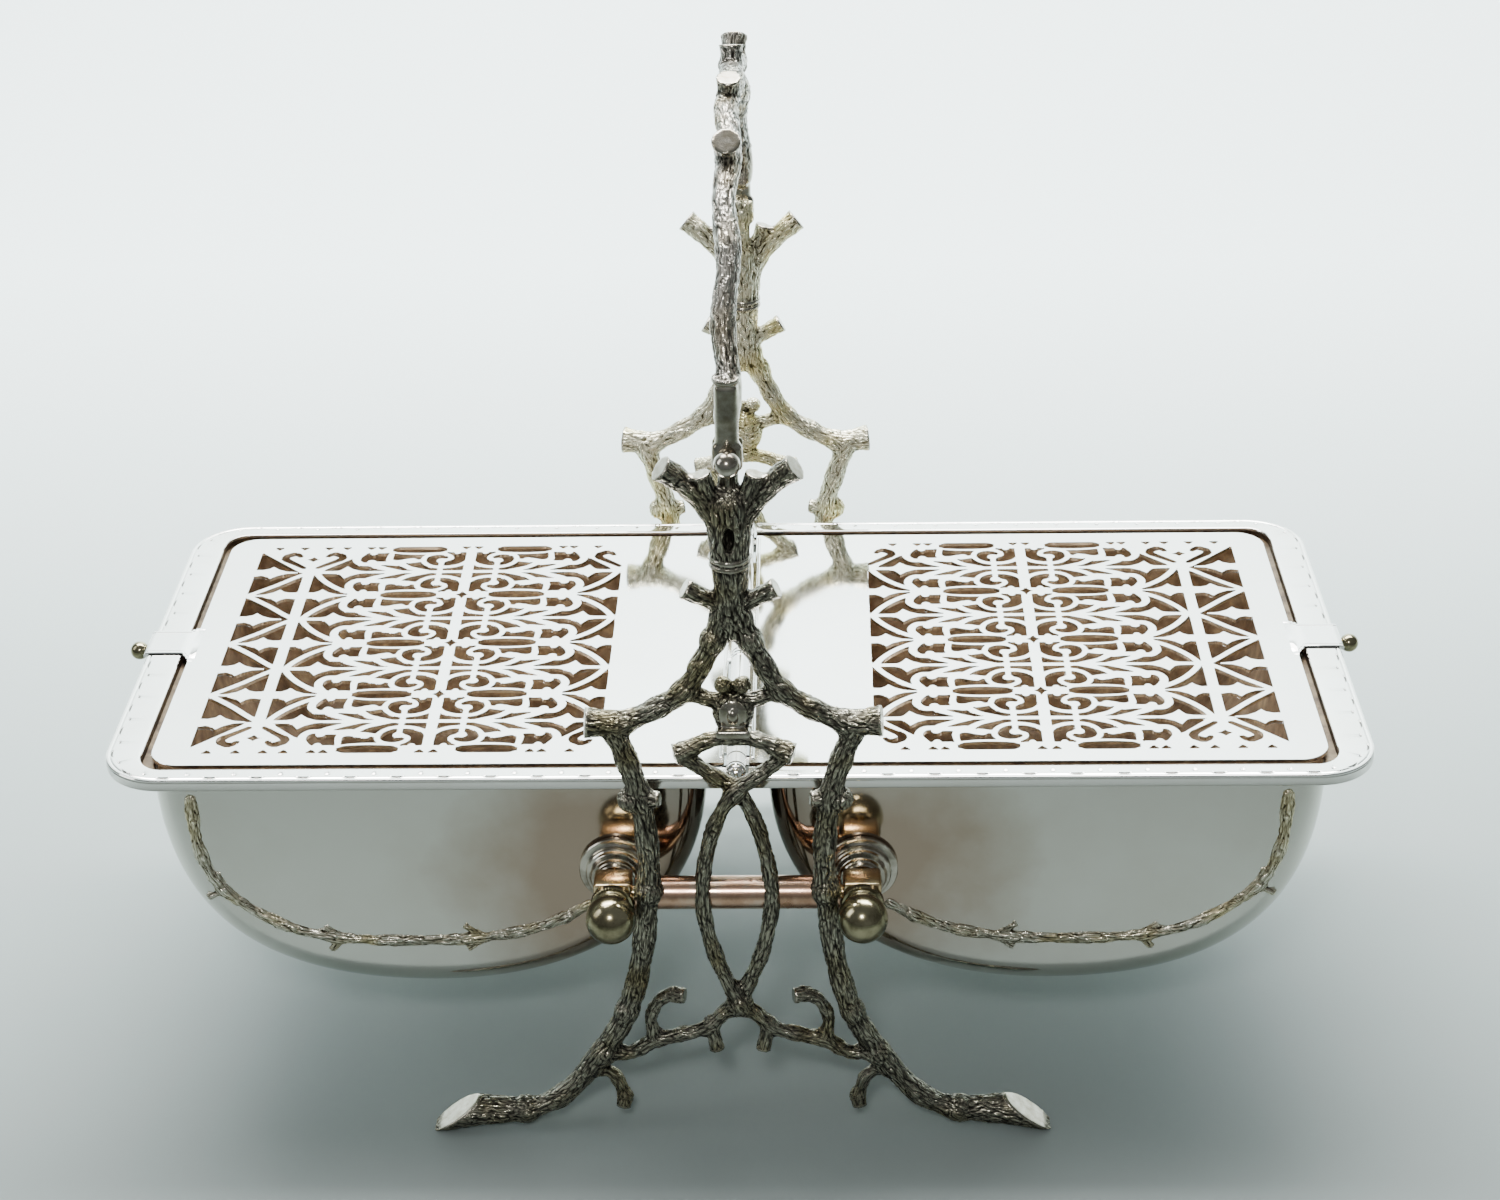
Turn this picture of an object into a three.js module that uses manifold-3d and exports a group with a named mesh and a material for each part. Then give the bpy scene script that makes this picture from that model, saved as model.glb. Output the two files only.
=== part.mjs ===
// Folding biscuit box: two hollow half shells with pierced covers, hinged together along a
// centre pin and hung on pivots between two cast twig end frames, with a branch handle over the top.
// Millimetres, +Z up. The origin is on the table under the middle of the box. X runs along the
// opened trays, Y from the front end frame (negative) to the rear one.
import * as THREE from "three";
import { mergeVertices } from "three/addons/utils/BufferGeometryUtils.js";
import Module from "manifold-3d";

const wasm = await Module();
wasm.setup();

// ---- driving dimensions -------------------------------------------------------------------
const GAP = 0.3; // clearance between touching pieces

const RIM_Z = 128; // top of the tray rims above the table
const RIM_LENGTH = 205; // from the hinge axis to the outer edge of a rim
const RIM_HALF_WIDTH = 91.8;
const RIM_CORNER = 20;
const LIP_SIDE = 7.4; // width of the polished flange along the sides of each tray
const LIP_END = 11.8; // and across its end
const LIP_CORNER = 11; // inner corners of the flange
const LIP_THICKNESS = 1.6;
const SKIRT_DEPTH = 4; // milled edge under the lip
const SKIRT_THICKNESS = 1.3;
const REBATE_DEPTH = 4.4; // channel between the lip and the cover
const LEDGE_THICKNESS = 1.2;
const MOUTH_NEAR = 14; // mouth of each tray, inside the ledge
const MOUTH_FAR = 187.5;
const MOUTH_HALF_WIDTH = 80.3;
const MOUTH_CORNER = 9;

const HINGE_RISE = 0.8; // hinge axis above the rims, so that the closed rims meet without rubbing
const HINGE_Z = RIM_Z + HINGE_RISE;
const PIN_RADIUS = 1.6;
const KNUCKLE_RADIUS = 3.2;
const KNUCKLE_BORE = PIN_RADIUS + GAP;
const HINGE_CLEARANCE = KNUCKLE_RADIUS + 0.8; // where the flat pieces start beside the barrel

const PIVOT_X = 40; // side pivots from the hinge axis, across and down
const PIVOT_DROP = 40;
const PIVOT_Z = HINGE_Z - PIVOT_DROP;

const SHELL_HALF_WIDTH = 83;
const SHELL_WALL = 1.5;
const SHELL_FILLET = 10;
const SHELL_TOP = -REBATE_DEPTH - GAP; // measured from the rim top

const COVER_LENGTH = 190.4;
const COVER_HALF_WIDTH = 81.6;
const COVER_CORNER = 10;
const COVER_TOP = -0.4; // measured from the rim top
const COVER_THICKNESS = 1.2;
const TAB_HALF_WIDTH = 8;
const TAB_TOP = HINGE_RISE - 0.15;
const TAB_THICKNESS = 1.1;
const TAB_LIP_DROP = 1.6;

const PANEL_INNER_X = 44.5; // pierced panel of each cover
const PANEL_OUTER_X = 178;
const PANEL_HALF_WIDTH = 72;
const BAND_WIDTH = 22; // lattice band at the outer end of the panel
const BAR_WIDTH = 4;

const FRAME_Y = 104; // plane of each twig frame
const TUBE_Y = 97.8; // cross tube behind each twig frame
const TUBE_RADIUS = 5.4;
const TUBE_BORE = 4.5;
const TUBE_HALF_LENGTH = 33;
const ROD_RADIUS = 2.3;
const ROD_TIP = 2.2;

const STUD_RADIUS = 2.9;
const BLOCK_SIZE = 12.2;
const BLOCK_DEPTH = 10;
const BALL_NUT_RADIUS = 8;

const HANDLE_PIVOT_Z = 247;
const HANDLE_REACH = 80; // height of the arch above its pivots
const HANDLE_SPAN = 106;
const HANDLE_RADIUS = 3.8;
const SCREW_BALL_RADIUS = 4;
const SCREW_RADIUS = 1.8;

const ROUND = 16; // facets round a turned piece

// ---- materials ------------------------------------------------------------------------------
const mirrorPlate = new THREE.MeshStandardMaterial({ color: 0xe4e8ea, roughness: 0.08, metalness: 1 });
const shellPlate = new THREE.MeshStandardMaterial({ color: 0xb9b6ae, roughness: 0.16, metalness: 1 });
const twigSilver = new THREE.MeshStandardMaterial({ color: 0x6f6b60, roughness: 0.38, metalness: 1 });
const turnedPlate = new THREE.MeshStandardMaterial({ color: 0xb0a892, roughness: 0.2, metalness: 1 });
const wornCopper = new THREE.MeshStandardMaterial({ color: 0xc08a6a, roughness: 0.26, metalness: 1 });

// ---- solids ---------------------------------------------------------------------------------
function solid(geometry) {
  const bare = geometry.clone();
  for (const name of ["normal", "uv"]) {
    bare.deleteAttribute(name);
  }
  const merged = mergeVertices(bare, 1e-4);
  const vertProperties = new Float32Array(merged.attributes.position.array);
  const triVerts = new Uint32Array(merged.index.array);
  const made = new wasm.Manifold(new wasm.Mesh({ numProp: 3, vertProperties, triVerts }));
  if (made.volume() > 0) {
    return made;
  }
  return new wasm.Manifold(new wasm.Mesh({ numProp: 3, vertProperties, triVerts: triVerts.reverse() }));
}

function union(pieces) {
  return pieces.reduce((whole, piece) => whole.add(piece));
}

function mesh(name, body, material) {
  const { vertProperties, triVerts } = body.getMesh();
  const geometry = new THREE.BufferGeometry();
  geometry.setAttribute("position", new THREE.BufferAttribute(vertProperties, 3));
  geometry.setIndex(new THREE.BufferAttribute(triVerts, 1));
  geometry.computeVertexNormals();
  const made = new THREE.Mesh(geometry, material);
  made.name = name;
  return made;
}

function box(x0, x1, y0, y1, z0, z1) {
  const block = new THREE.BoxGeometry(x1 - x0, y1 - y0, z1 - z0);
  return solid(block.translate((x0 + x1) / 2, (y0 + y1) / 2, (z0 + z1) / 2));
}

// A flat plate with its outline in plan, between two heights.
function plate(outline, z0, z1) {
  const made = new THREE.ExtrudeGeometry(outline, { depth: z1 - z0, bevelEnabled: false, curveSegments: 5 });
  return solid(made.translate(0, 0, z0));
}

// A turned piece on the Y axis. The profile holds [radius, distance along +Y] points.
function turned(profile, facets = ROUND) {
  return solid(new THREE.LatheGeometry(profile.map(([r, t]) => new THREE.Vector2(r, t)), facets));
}

// A round bar from one [x, y, z] point to another, which may taper.
function bar(from, to, fromRadius, toRadius = fromRadius, facets = 8) {
  const start = new THREE.Vector3(...from);
  const run = new THREE.Vector3(...to).sub(start);
  const made = new THREE.CylinderGeometry(toRadius, fromRadius, run.length(), facets);
  const turn = new THREE.Quaternion().setFromUnitVectors(new THREE.Vector3(0, 1, 0), run.clone().normalize());
  made.applyQuaternion(turn);
  made.translate(...start.addScaledVector(run, 0.5).toArray());
  return solid(made);
}

// A round tube of one radius through a list of Vector3 points.
function sweep(points, radius, sides, steps) {
  const path = new THREE.CatmullRomCurve3(points, false, "centripetal");
  const corners = Array.from({ length: sides }, (_, i) => {
    const angle = ((i + 0.5) / sides) * 2 * Math.PI;
    return new THREE.Vector2(radius * Math.cos(angle), radius * Math.sin(angle));
  });
  return solid(new THREE.ExtrudeGeometry(new THREE.Shape(corners), { extrudePath: path, steps }));
}

// ---- twig end frame -------------------------------------------------------------------------
// Half of the casting, seen from outside: [x, z] points in the plane of the frame, with the
// other half mirrored. Each limb has a radius, and each stub flares to a cut end.
const limbs = [
  { radius: 3.4, points: [[1, 214], [4, 225], [10, 234], [16, 240]] }, // crown horn
  { radius: 3.5, points: [[2, 197], [5, 186], [9, 177], [15, 167], [25, 160], [36, 155]] }, // bough
  { radius: 3.7, points: [[38, 155], [34, 144], [30, 129], [28, 110], [28.5, 92], [31.5, 67], [37, 46],
    [46, 30], [58, 14], [71, 7], [84, 5]] }, // leg
  { radius: 2.5, points: [[15, 167], [9, 164.5], [3, 163]] }, // twig to the cartouche
  { radius: 2.6, points: [[0, 151], [8, 149], [15, 146]] }, // upper arm of the diamond
  { radius: 2.2, points: [[16, 144], [8, 137], [0, 131], [-6, 120], [-10, 104], [-11, 88], [-8, 71],
    [-3, 57], [1, 48]] }, // strand of the pointed loop
  { radius: 2.6, points: [[0, 50], [5, 46], [11, 40], [20, 37], [28, 35], [36, 30], [45, 31]] }, // brace
  { radius: 2.2, points: [[28, 35], [29, 44], [26, 51], [21, 53.5]] }, // curl above the brace
  { radius: 2.3, points: [[49, 25], [42, 21], [38.5, 12]] }, // twig hanging from the leg
];
const stubs = [
  { from: [15, 239], to: [19.5, 242.5], radii: [3.2, 4] }, // horn tip
  { from: [2, 222], to: [8, 241], radii: [2.6, 2.9] }, // crown prong
  { from: [2, 196], to: [13.5, 203], radii: [2.4, 3.1] },
  { from: [34, 155.5], to: [45, 156], radii: [3.6, 4.7] }, // elbow
  { from: [13, 146.5], to: [18, 145], radii: [2.6, 3.2] }, // diamond corner
  { from: [29.5, 128], to: [24, 128.5], radii: [2.6, 2.4] },
  { from: [9.5, 42], to: [7.5, 32], radii: [2.2, 2.5] },
];
const knots = [
  { at: [28.3, 94], radius: 4.6 },
  { at: [0, 161], radius: 6.2 }, // cartouche
  { at: [0, 170], radius: 4.2 },
  { at: [0, 50], radius: 3.4 },
];
const LIMB_SIDES = 5;
const LEG_RADIUS = 3.7;
const STEM_RADIUS = 5.4;
const COLLAR_RADIUS = 6.4;
const COLLAR_Z = 212;
const EYE_RADIUS = 5;
const EYE_THICKNESS = 4;
const FOOT_RADIUS = 7;
const FOOT_TOP = [83, 15.5]; // the slanting cut across each foot runs between these two points
const FOOT_TOE = [99.5, 3];

function foot() {
  const branch = bar([72, 0, 7.2], [104, 0, 5.6], LEG_RADIUS, FOOT_RADIUS, 12);
  const slope = Math.atan2(FOOT_TOE[1] - FOOT_TOP[1], FOOT_TOE[0] - FOOT_TOP[0]);
  const cutter = new THREE.BoxGeometry(80, 40, 30);
  cutter.translate(0, 0, 15);
  cutter.rotateY(-slope);
  cutter.translate(FOOT_TOP[0], 0, FOOT_TOP[1]);
  return branch.subtract(solid(cutter));
}

// Front frame about its own plane, with +Y towards the trays.
function twigFrame() {
  const pieces = [];
  for (const side of [1, -1]) {
    for (const { radius, points } of limbs) {
      const route = points.map(([x, z]) => new THREE.Vector3(side * x, 0, z));
      const steps = Math.ceil(points.length * 0.85);
      pieces.push(sweep(route, radius, radius === LEG_RADIUS ? 7 : LIMB_SIDES, steps));
    }
    for (const { from, to, radii } of stubs) {
      pieces.push(bar([side * from[0], 0, from[1]], [side * to[0], 0, to[1]], ...radii, 7));
    }
    for (const { at, radius } of knots.slice(0, side === 1 ? knots.length : 1)) {
      pieces.push(solid(new THREE.IcosahedronGeometry(radius, 1).translate(side * at[0], 0, at[1])));
    }
    const end = foot();
    pieces.push(side === 1 ? end : end.mirror([1, 0, 0]));
  }
  pieces.push(bar([0, 0, 190], [0, 0, 232], STEM_RADIUS - 1.2, STEM_RADIUS + 0.4, 10));
  pieces.push(bar([0, 0, COLLAR_Z - 3], [0, 0, COLLAR_Z + 3], COLLAR_RADIUS, COLLAR_RADIUS, 12));
  pieces.push(bar([0, 2.4, 226], [0, 2.4, HANDLE_PIVOT_Z - 3], 2, 2, 8));
  pieces.push(bar([0, GAP, HANDLE_PIVOT_Z], [0, GAP + EYE_THICKNESS, HANDLE_PIVOT_Z], EYE_RADIUS, EYE_RADIUS, 14));
  const inward = FRAME_Y - TUBE_Y;
  return union(pieces)
    .subtract(bar([-60, inward, PIVOT_Z], [60, inward, PIVOT_Z], TUBE_RADIUS + GAP, TUBE_RADIUS + GAP, ROUND))
    .subtract(bar([0, -20, HANDLE_PIVOT_Z], [0, 20, HANDLE_PIVOT_Z], SCREW_RADIUS + GAP, SCREW_RADIUS + GAP, 12))
    .subtract(box(-120, 120, -20, 20, -20, 0));
}

// ---- trays ----------------------------------------------------------------------------------
// Plan outline with a straight edge beside the hinge and two rounded outer corners.
function trayPlan(inner, outer, halfWidth, corner) {
  const shape = new THREE.Shape();
  shape.moveTo(inner, -halfWidth);
  shape.lineTo(outer - corner, -halfWidth);
  shape.absarc(outer - corner, -halfWidth + corner, corner, -Math.PI / 2, 0, false);
  shape.absarc(outer - corner, halfWidth - corner, corner, 0, Math.PI / 2, false);
  shape.lineTo(inner, halfWidth);
  return shape;
}

// A plate that ends a distance inside the outer edge of the rim.
function inset(inner, by, z0, z1) {
  return plate(trayPlan(inner, RIM_LENGTH - by, RIM_HALF_WIDTH - by, RIM_CORNER - by), z0, z1);
}

// A plate that fills the inner edge of the flange, grown by a distance.
function lipInner(inner, grown, z0, z1) {
  const outer = RIM_LENGTH - LIP_END + grown;
  return plate(trayPlan(inner, outer, RIM_HALF_WIDTH - LIP_SIDE + grown, LIP_CORNER + grown), z0, z1);
}

const CLEAR_OF_EDGE = -20; // a cutter's outline starts well past the hinge side

function knuckle(y0, y1) {
  const ring = turned([[KNUCKLE_BORE, y0], [KNUCKLE_RADIUS, y0], [KNUCKLE_RADIUS, y1], [KNUCKLE_BORE, y1],
    [KNUCKLE_BORE, y0]], 16);
  return ring.translate([0, 0, HINGE_RISE]);
}

// Rim of one tray, on its +X side, with its top at height 0. The knuckles are [y0, y1] spans.
function rim(knuckles) {
  const start = HINGE_CLEARANCE;
  const channel = lipInner(CLEAR_OF_EDGE, 0, -9, 9);
  const lip = inset(start, 0, -LIP_THICKNESS, 0).subtract(channel);
  const skirt = inset(start, 0, -SKIRT_DEPTH, -0.5).subtract(inset(CLEAR_OF_EDGE, SKIRT_THICKNESS, -9, 9));
  const rebate = lipInner(start + 0.5, LEDGE_THICKNESS, -REBATE_DEPTH, -0.5).subtract(channel);
  const mouth = trayPlan(MOUTH_NEAR, MOUTH_FAR, MOUTH_HALF_WIDTH, MOUTH_CORNER);
  const ledgeTop = -REBATE_DEPTH + LEDGE_THICKNESS;
  const ledge = lipInner(start + 0.5, LEDGE_THICKNESS, -REBATE_DEPTH, ledgeTop).subtract(plate(mouth, -9, 9));
  let whole = union([lip, skirt, rebate, ledge]);
  for (const [y0, y1] of knuckles) {
    const leaf = box(1.6, start + 3, y0, y1, -REBATE_DEPTH, -1.8);
    const bore = bar([0, y0 - 1, HINGE_RISE], [0, y1 + 1, HINGE_RISE], KNUCKLE_BORE, KNUCKLE_BORE, 16);
    whole = whole.add(leaf.subtract(bore)).add(knuckle(y0, y1));
  }
  const seat = box(190, 220, -TAB_HALF_WIDTH - GAP, TAB_HALF_WIDTH + GAP, TAB_TOP - TAB_THICKNESS - GAP, 9);
  return whole.subtract(seat);
}

// Side profile of a shell, measured from the rim top, carried past the mouth to be cut off there.
function shellProfile() {
  const shape = new THREE.Shape();
  shape.moveTo(190, 20);
  shape.lineTo(190, -8);
  shape.bezierCurveTo(190, -58, 165, -88, 102, -88);
  shape.bezierCurveTo(50, -88, 10, -60, 10, -8);
  shape.lineTo(10, 20);
  return shape;
}

function shellBlank(by) {
  const round = SHELL_FILLET - by;
  const length = 2 * (SHELL_HALF_WIDTH - SHELL_FILLET);
  const made = new THREE.ExtrudeGeometry(shellProfile(), {
    depth: length,
    curveSegments: 9,
    bevelThickness: round,
    bevelSize: round,
    bevelOffset: -SHELL_FILLET,
    bevelSegments: 3,
  });
  return solid(made.translate(0, 0, -length / 2).rotateX(Math.PI / 2));
}

function shell() {
  return shellBlank(0)
    .subtract(shellBlank(SHELL_WALL))
    .subtract(box(-20, 220, -120, 120, SHELL_TOP, 60));
}

// ---- covers ---------------------------------------------------------------------------------
function lozenge(x, y, halfX, halfY) {
  const shape = new THREE.Shape();
  shape.moveTo(x - halfX, y);
  shape.lineTo(x, y - halfY);
  shape.lineTo(x + halfX, y);
  shape.lineTo(x, y + halfY);
  return shape;
}

function pointedWindow(x0, x1, y, halfY) {
  const shoulder = (x1 - x0) * 0.35;
  const shape = new THREE.Shape();
  shape.moveTo(x0, y);
  shape.lineTo(x0 + shoulder, y - halfY);
  shape.lineTo(x1, y - halfY * 0.6);
  shape.lineTo(x1, y + halfY * 0.6);
  shape.lineTo(x0 + shoulder, y + halfY);
  return shape;
}

// The openings of the pierced panel: lozenges in the outer band, pointed windows in the field.
function piercings() {
  const found = [];
  const bandX = PANEL_OUTER_X - BAND_WIDTH / 2;
  const lozenges = 6;
  const pitch = (2 * PANEL_HALF_WIDTH) / lozenges;
  for (let i = 0; i < lozenges; i += 1) {
    found.push(lozenge(bandX, -PANEL_HALF_WIDTH + (i + 0.5) * pitch, BAND_WIDTH / 2 - 1.5, pitch / 2 - 1.5));
  }
  const fieldEnd = PANEL_OUTER_X - BAND_WIDTH - BAR_WIDTH;
  const middle = (PANEL_INNER_X + fieldEnd) / 2;
  const rows = 4;
  const rowPitch = (2 * PANEL_HALF_WIDTH) / rows;
  for (let i = 0; i < rows; i += 1) {
    const y = -PANEL_HALF_WIDTH + (i + 0.5) * rowPitch;
    const halfY = rowPitch / 2 - BAR_WIDTH / 2;
    found.push(pointedWindow(PANEL_INNER_X, middle - BAR_WIDTH / 2, y, halfY));
    found.push(pointedWindow(fieldEnd, middle + BAR_WIDTH / 2, y, halfY));
  }
  return found;
}

// Cover of one tray, on its +X side, measured from the rim top like the rim.
function cover(knuckles) {
  const bottom = COVER_TOP - COVER_THICKNESS;
  const outline = trayPlan(HINGE_CLEARANCE, COVER_LENGTH, COVER_HALF_WIDTH, COVER_CORNER);
  outline.holes.push(...piercings());
  const tabBottom = TAB_TOP - TAB_THICKNESS;
  const tabEnd = RIM_LENGTH + GAP + TAB_THICKNESS;
  let whole = plate(outline, bottom, COVER_TOP)
    .add(box(COVER_LENGTH - 6, tabEnd, -TAB_HALF_WIDTH, TAB_HALF_WIDTH, tabBottom, TAB_TOP))
    .add(box(RIM_LENGTH + GAP, tabEnd, -TAB_HALF_WIDTH, TAB_HALF_WIDTH, TAB_TOP - TAB_LIP_DROP, TAB_TOP));
  for (const [y0, y1] of knuckles) {
    const leaf = box(1.4, HINGE_CLEARANCE + 1, y0, y1, bottom, COVER_TOP);
    const bore = bar([0, y0 - 1, HINGE_RISE], [0, y1 + 1, HINGE_RISE], KNUCKLE_BORE, KNUCKLE_BORE, 16);
    whole = whole.add(leaf.subtract(bore)).add(knuckle(y0, y1));
  }
  return whole;
}

// ---- turned and small pieces, along +Y or +X ------------------------------------------------
function ballPoints(centre, radius, fromDegrees, toDegrees, count) {
  return Array.from({ length: count + 1 }, (_, i) => {
    const angle = THREE.MathUtils.degToRad(fromDegrees + ((toDegrees - fromDegrees) * i) / count);
    return [Math.max(0, radius * Math.cos(angle)), centre + radius * Math.sin(angle)];
  });
}

const BOSS_Y = SHELL_HALF_WIDTH + GAP;
const BLOCK_Y0 = TUBE_Y - BLOCK_DEPTH / 2;
const NUT_Y = TUBE_Y + BLOCK_DEPTH / 2 + GAP;
const NUT_BORE_DEPTH = 7;

function pivot() {
  const end = NUT_Y + NUT_BORE_DEPTH - 2 * GAP;
  return turned([[0, BOSS_Y], [12, BOSS_Y], [12, BOSS_Y + 1.8], [9.6, BOSS_Y + 2.2], [9.6, BOSS_Y + 4.4],
    [8.2, BOSS_Y + 4.8], [7.8, BOSS_Y + 6.8], [6.4, BOSS_Y + 7.2], [6.4, BLOCK_Y0 - GAP - 0.2],
    [STUD_RADIUS, BLOCK_Y0 - GAP - 0.2], [STUD_RADIUS, end], [0, end]]);
}

function ballNut() {
  const bore = STUD_RADIUS + GAP;
  const centre = NUT_Y + 10;
  return turned([[bore, NUT_Y], [6.9, NUT_Y], [6.9, NUT_Y + 2.4], [5.6, NUT_Y + 3],
    ...ballPoints(centre, BALL_NUT_RADIUS, -45, 90, 5), [0, NUT_Y + NUT_BORE_DEPTH], [bore, NUT_Y + NUT_BORE_DEPTH],
    [bore, NUT_Y]]);
}

// Square block on the right-hand pivot, with the rod that slides in the cross tube.
function slideBlock() {
  const half = BLOCK_SIZE / 2;
  const block = box(PIVOT_X - half, PIVOT_X + half, BLOCK_Y0, BLOCK_Y0 + BLOCK_DEPTH, PIVOT_Z - half, PIVOT_Z + half);
  const hole = bar([PIVOT_X, 80, PIVOT_Z], [PIVOT_X, 120, PIVOT_Z], STUD_RADIUS + GAP, STUD_RADIUS + GAP, 16);
  const rod = bar([PIVOT_X - half + 1, TUBE_Y, PIVOT_Z], [ROD_TIP, TUBE_Y, PIVOT_Z], ROD_RADIUS, ROD_RADIUS, 12);
  return block.subtract(hole).add(rod);
}

function crossTube() {
  const length = TUBE_HALF_LENGTH;
  return turned([[TUBE_BORE, -length], [TUBE_RADIUS, -length], [TUBE_RADIUS, length], [TUBE_BORE, length],
    [TUBE_BORE, -length]]);
}

const PIN_END = 88.2;

function hingePin() {
  return turned([[0, -PIN_END], [PIN_RADIUS, -PIN_END], [PIN_RADIUS, PIN_END], [0, PIN_END]], 12);
}

function hingeCap() {
  const start = PIN_END + GAP;
  return turned([[0, start], [KNUCKLE_RADIUS, start], [KNUCKLE_RADIUS, start + 0.8], [2.2, start + 2.2],
    [1.1, start + 2.5], [1, start + 3.2], [0, start + 3.3]], 16);
}

function knob() {
  const radius = 3.2;
  const start = RIM_LENGTH + GAP;
  return turned([[0, start], [1.1, start], [1.1, start + 1.2], ...ballPoints(start + 4.2, radius, -66, 90, 5)], 12);
}

function handleScrew() {
  const seat = -(GAP + EYE_THICKNESS);
  const centre = seat - GAP - SCREW_BALL_RADIUS * 0.85;
  const head = ballPoints(-centre, SCREW_BALL_RADIUS, 90, -58, 7).map(([r, t]) => [r, -t]);
  const shoulder = head[head.length - 1][0];
  return turned([...head, [shoulder, seat - GAP], [SCREW_RADIUS, seat - GAP], [SCREW_RADIUS, GAP + EYE_THICKNESS - 0.4],
    [0, GAP + EYE_THICKNESS - 0.4]], 14);
}

// ---- handle ---------------------------------------------------------------------------------
function archPoint(degrees) {
  const angle = THREE.MathUtils.degToRad(degrees);
  const z = HANDLE_PIVOT_Z + HANDLE_REACH * Math.sin(angle);
  return new THREE.Vector3(0, -HANDLE_SPAN * Math.cos(angle), z);
}

// Branch stubs on the arch: angle round it, lean outwards along Y, length and radii.
const handleStubs = [
  { at: 63, lean: -0.9, length: 9, radii: [3.4, 4] },
  { at: 82, lean: -0.45, length: 7.5, radii: [3, 3.4] },
];

function handle() {
  const firstDegrees = 6;
  const count = 12;
  const route = Array.from({ length: count + 1 }, (_, i) => {
    return archPoint(firstDegrees + ((180 - 2 * firstDegrees) * i) / count);
  });
  let whole = sweep(route, HANDLE_RADIUS, 8, 24);
  for (const side of [1, -1]) {
    for (const { at, lean, length, radii } of handleStubs) {
      const start = archPoint(side === 1 ? at : 180 - at);
      const way = new THREE.Vector3(0, side * lean, 1).normalize().multiplyScalar(length);
      whole = whole.add(bar(start.toArray(), start.clone().add(way).toArray(), ...radii, 10));
    }
    const face = side * -(FRAME_Y + GAP);
    const back = face + side * -EYE_THICKNESS;
    const top = HANDLE_PIVOT_Z + 12;
    const screw = SCREW_RADIUS + GAP;
    whole = whole
      .add(box(-3.6, 3.6, Math.min(face, back), Math.max(face, back), HANDLE_PIVOT_Z, top))
      .add(bar([0, face, HANDLE_PIVOT_Z], [0, back, HANDLE_PIVOT_Z], EYE_RADIUS, EYE_RADIUS, 14))
      .subtract(bar([0, face + side * 9, HANDLE_PIVOT_Z], [0, back - side * 9, HANDLE_PIVOT_Z], screw, screw, 12));
  }
  return whole;
}

// ---- assembly -------------------------------------------------------------------------------
const biscuitBox = new THREE.Group();

function place(parent, piece, x = 0, y = 0, z = 0) {
  piece.position.set(x, y, z);
  parent.add(piece);
  return piece;
}

// The front and rear frames are the same casting facing opposite ways.
for (const [end, facing] of [["front", 1], ["rear", -1]]) {
  const group = new THREE.Group();
  group.scale.y = facing;
  biscuitBox.add(group);
  place(group, mesh(`${end}_twig_frame`, twigFrame(), twigSilver), 0, -FRAME_Y);
  place(group, mesh(`${end}_handle_screw`, handleScrew(), turnedPlate), 0, -FRAME_Y, HANDLE_PIVOT_Z);
  const tube = place(group, mesh(`${end}_cross_tube`, crossTube(), wornCopper), 0, -TUBE_Y, PIVOT_Z);
  tube.rotation.z = Math.PI / 2;
  const cap = place(group, mesh(`${end}_hinge_cap`, hingeCap(), mirrorPlate), 0, 0, HINGE_Z);
  cap.rotation.z = Math.PI;
}

place(biscuitBox, mesh("handle", handle(), twigSilver));
place(biscuitBox, mesh("hinge_pin", hingePin(), shellPlate), 0, 0, HINGE_Z);

// Barrel of the centre hinge, from each end inwards: left rim, right rim, left cover, right
// cover, with one more left cover knuckle in the middle.
const bothEnds = (y0, y1) => [[y0, y1], [-y1, -y0]];
const barrel = {
  left: { rim: bothEnds(82, 88), cover: [...bothEnds(60, 75.4), [-14.7, 14.7]] },
  right: { rim: bothEnds(75.7, 81.7), cover: bothEnds(15, 59.7) },
};

for (const [name, side] of [["left", -1], ["right", 1]]) {
  const group = new THREE.Group();
  group.scale.x = side;
  biscuitBox.add(group);
  place(group, mesh(`${name}_rim`, rim(barrel[name].rim), mirrorPlate), 0, 0, RIM_Z);
  place(group, mesh(`${name}_shell`, shell(), shellPlate), 0, 0, RIM_Z);
  place(group, mesh(`${name}_cover`, cover(barrel[name].cover), mirrorPlate), 0, 0, RIM_Z);
  const grip = place(group, mesh(`${name}_knob`, knob(), turnedPlate), 0, 0, RIM_Z - 2.7);
  grip.rotation.z = -Math.PI / 2;
  for (const [end, facing] of [["front", -1], ["rear", 1]]) {
    const half = new THREE.Group();
    half.scale.y = facing;
    group.add(half);
    place(half, mesh(`${name}_${end}_pivot`, pivot(), turnedPlate), PIVOT_X, 0, PIVOT_Z);
    place(half, mesh(`${name}_${end}_slide_block`, slideBlock(), wornCopper));
    place(half, mesh(`${name}_${end}_ball_nut`, ballNut(), turnedPlate), PIVOT_X, 0, PIVOT_Z);
  }
}

export default biscuitBox;
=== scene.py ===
"""A silver-plated folding biscuit box, open: two pierced trays hinged between branch-shaped end frames.

Lengths are in millimetres in the frame of the CAD model (+Z up, the table at z = 0) until a mesh
is made, and MM turns them into metres.
"""

import math

import bmesh
import bpy
import numpy as np
import openvdb
from mathutils import Matrix, Vector
from mathutils.geometry import delaunay_2d_cdt


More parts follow.
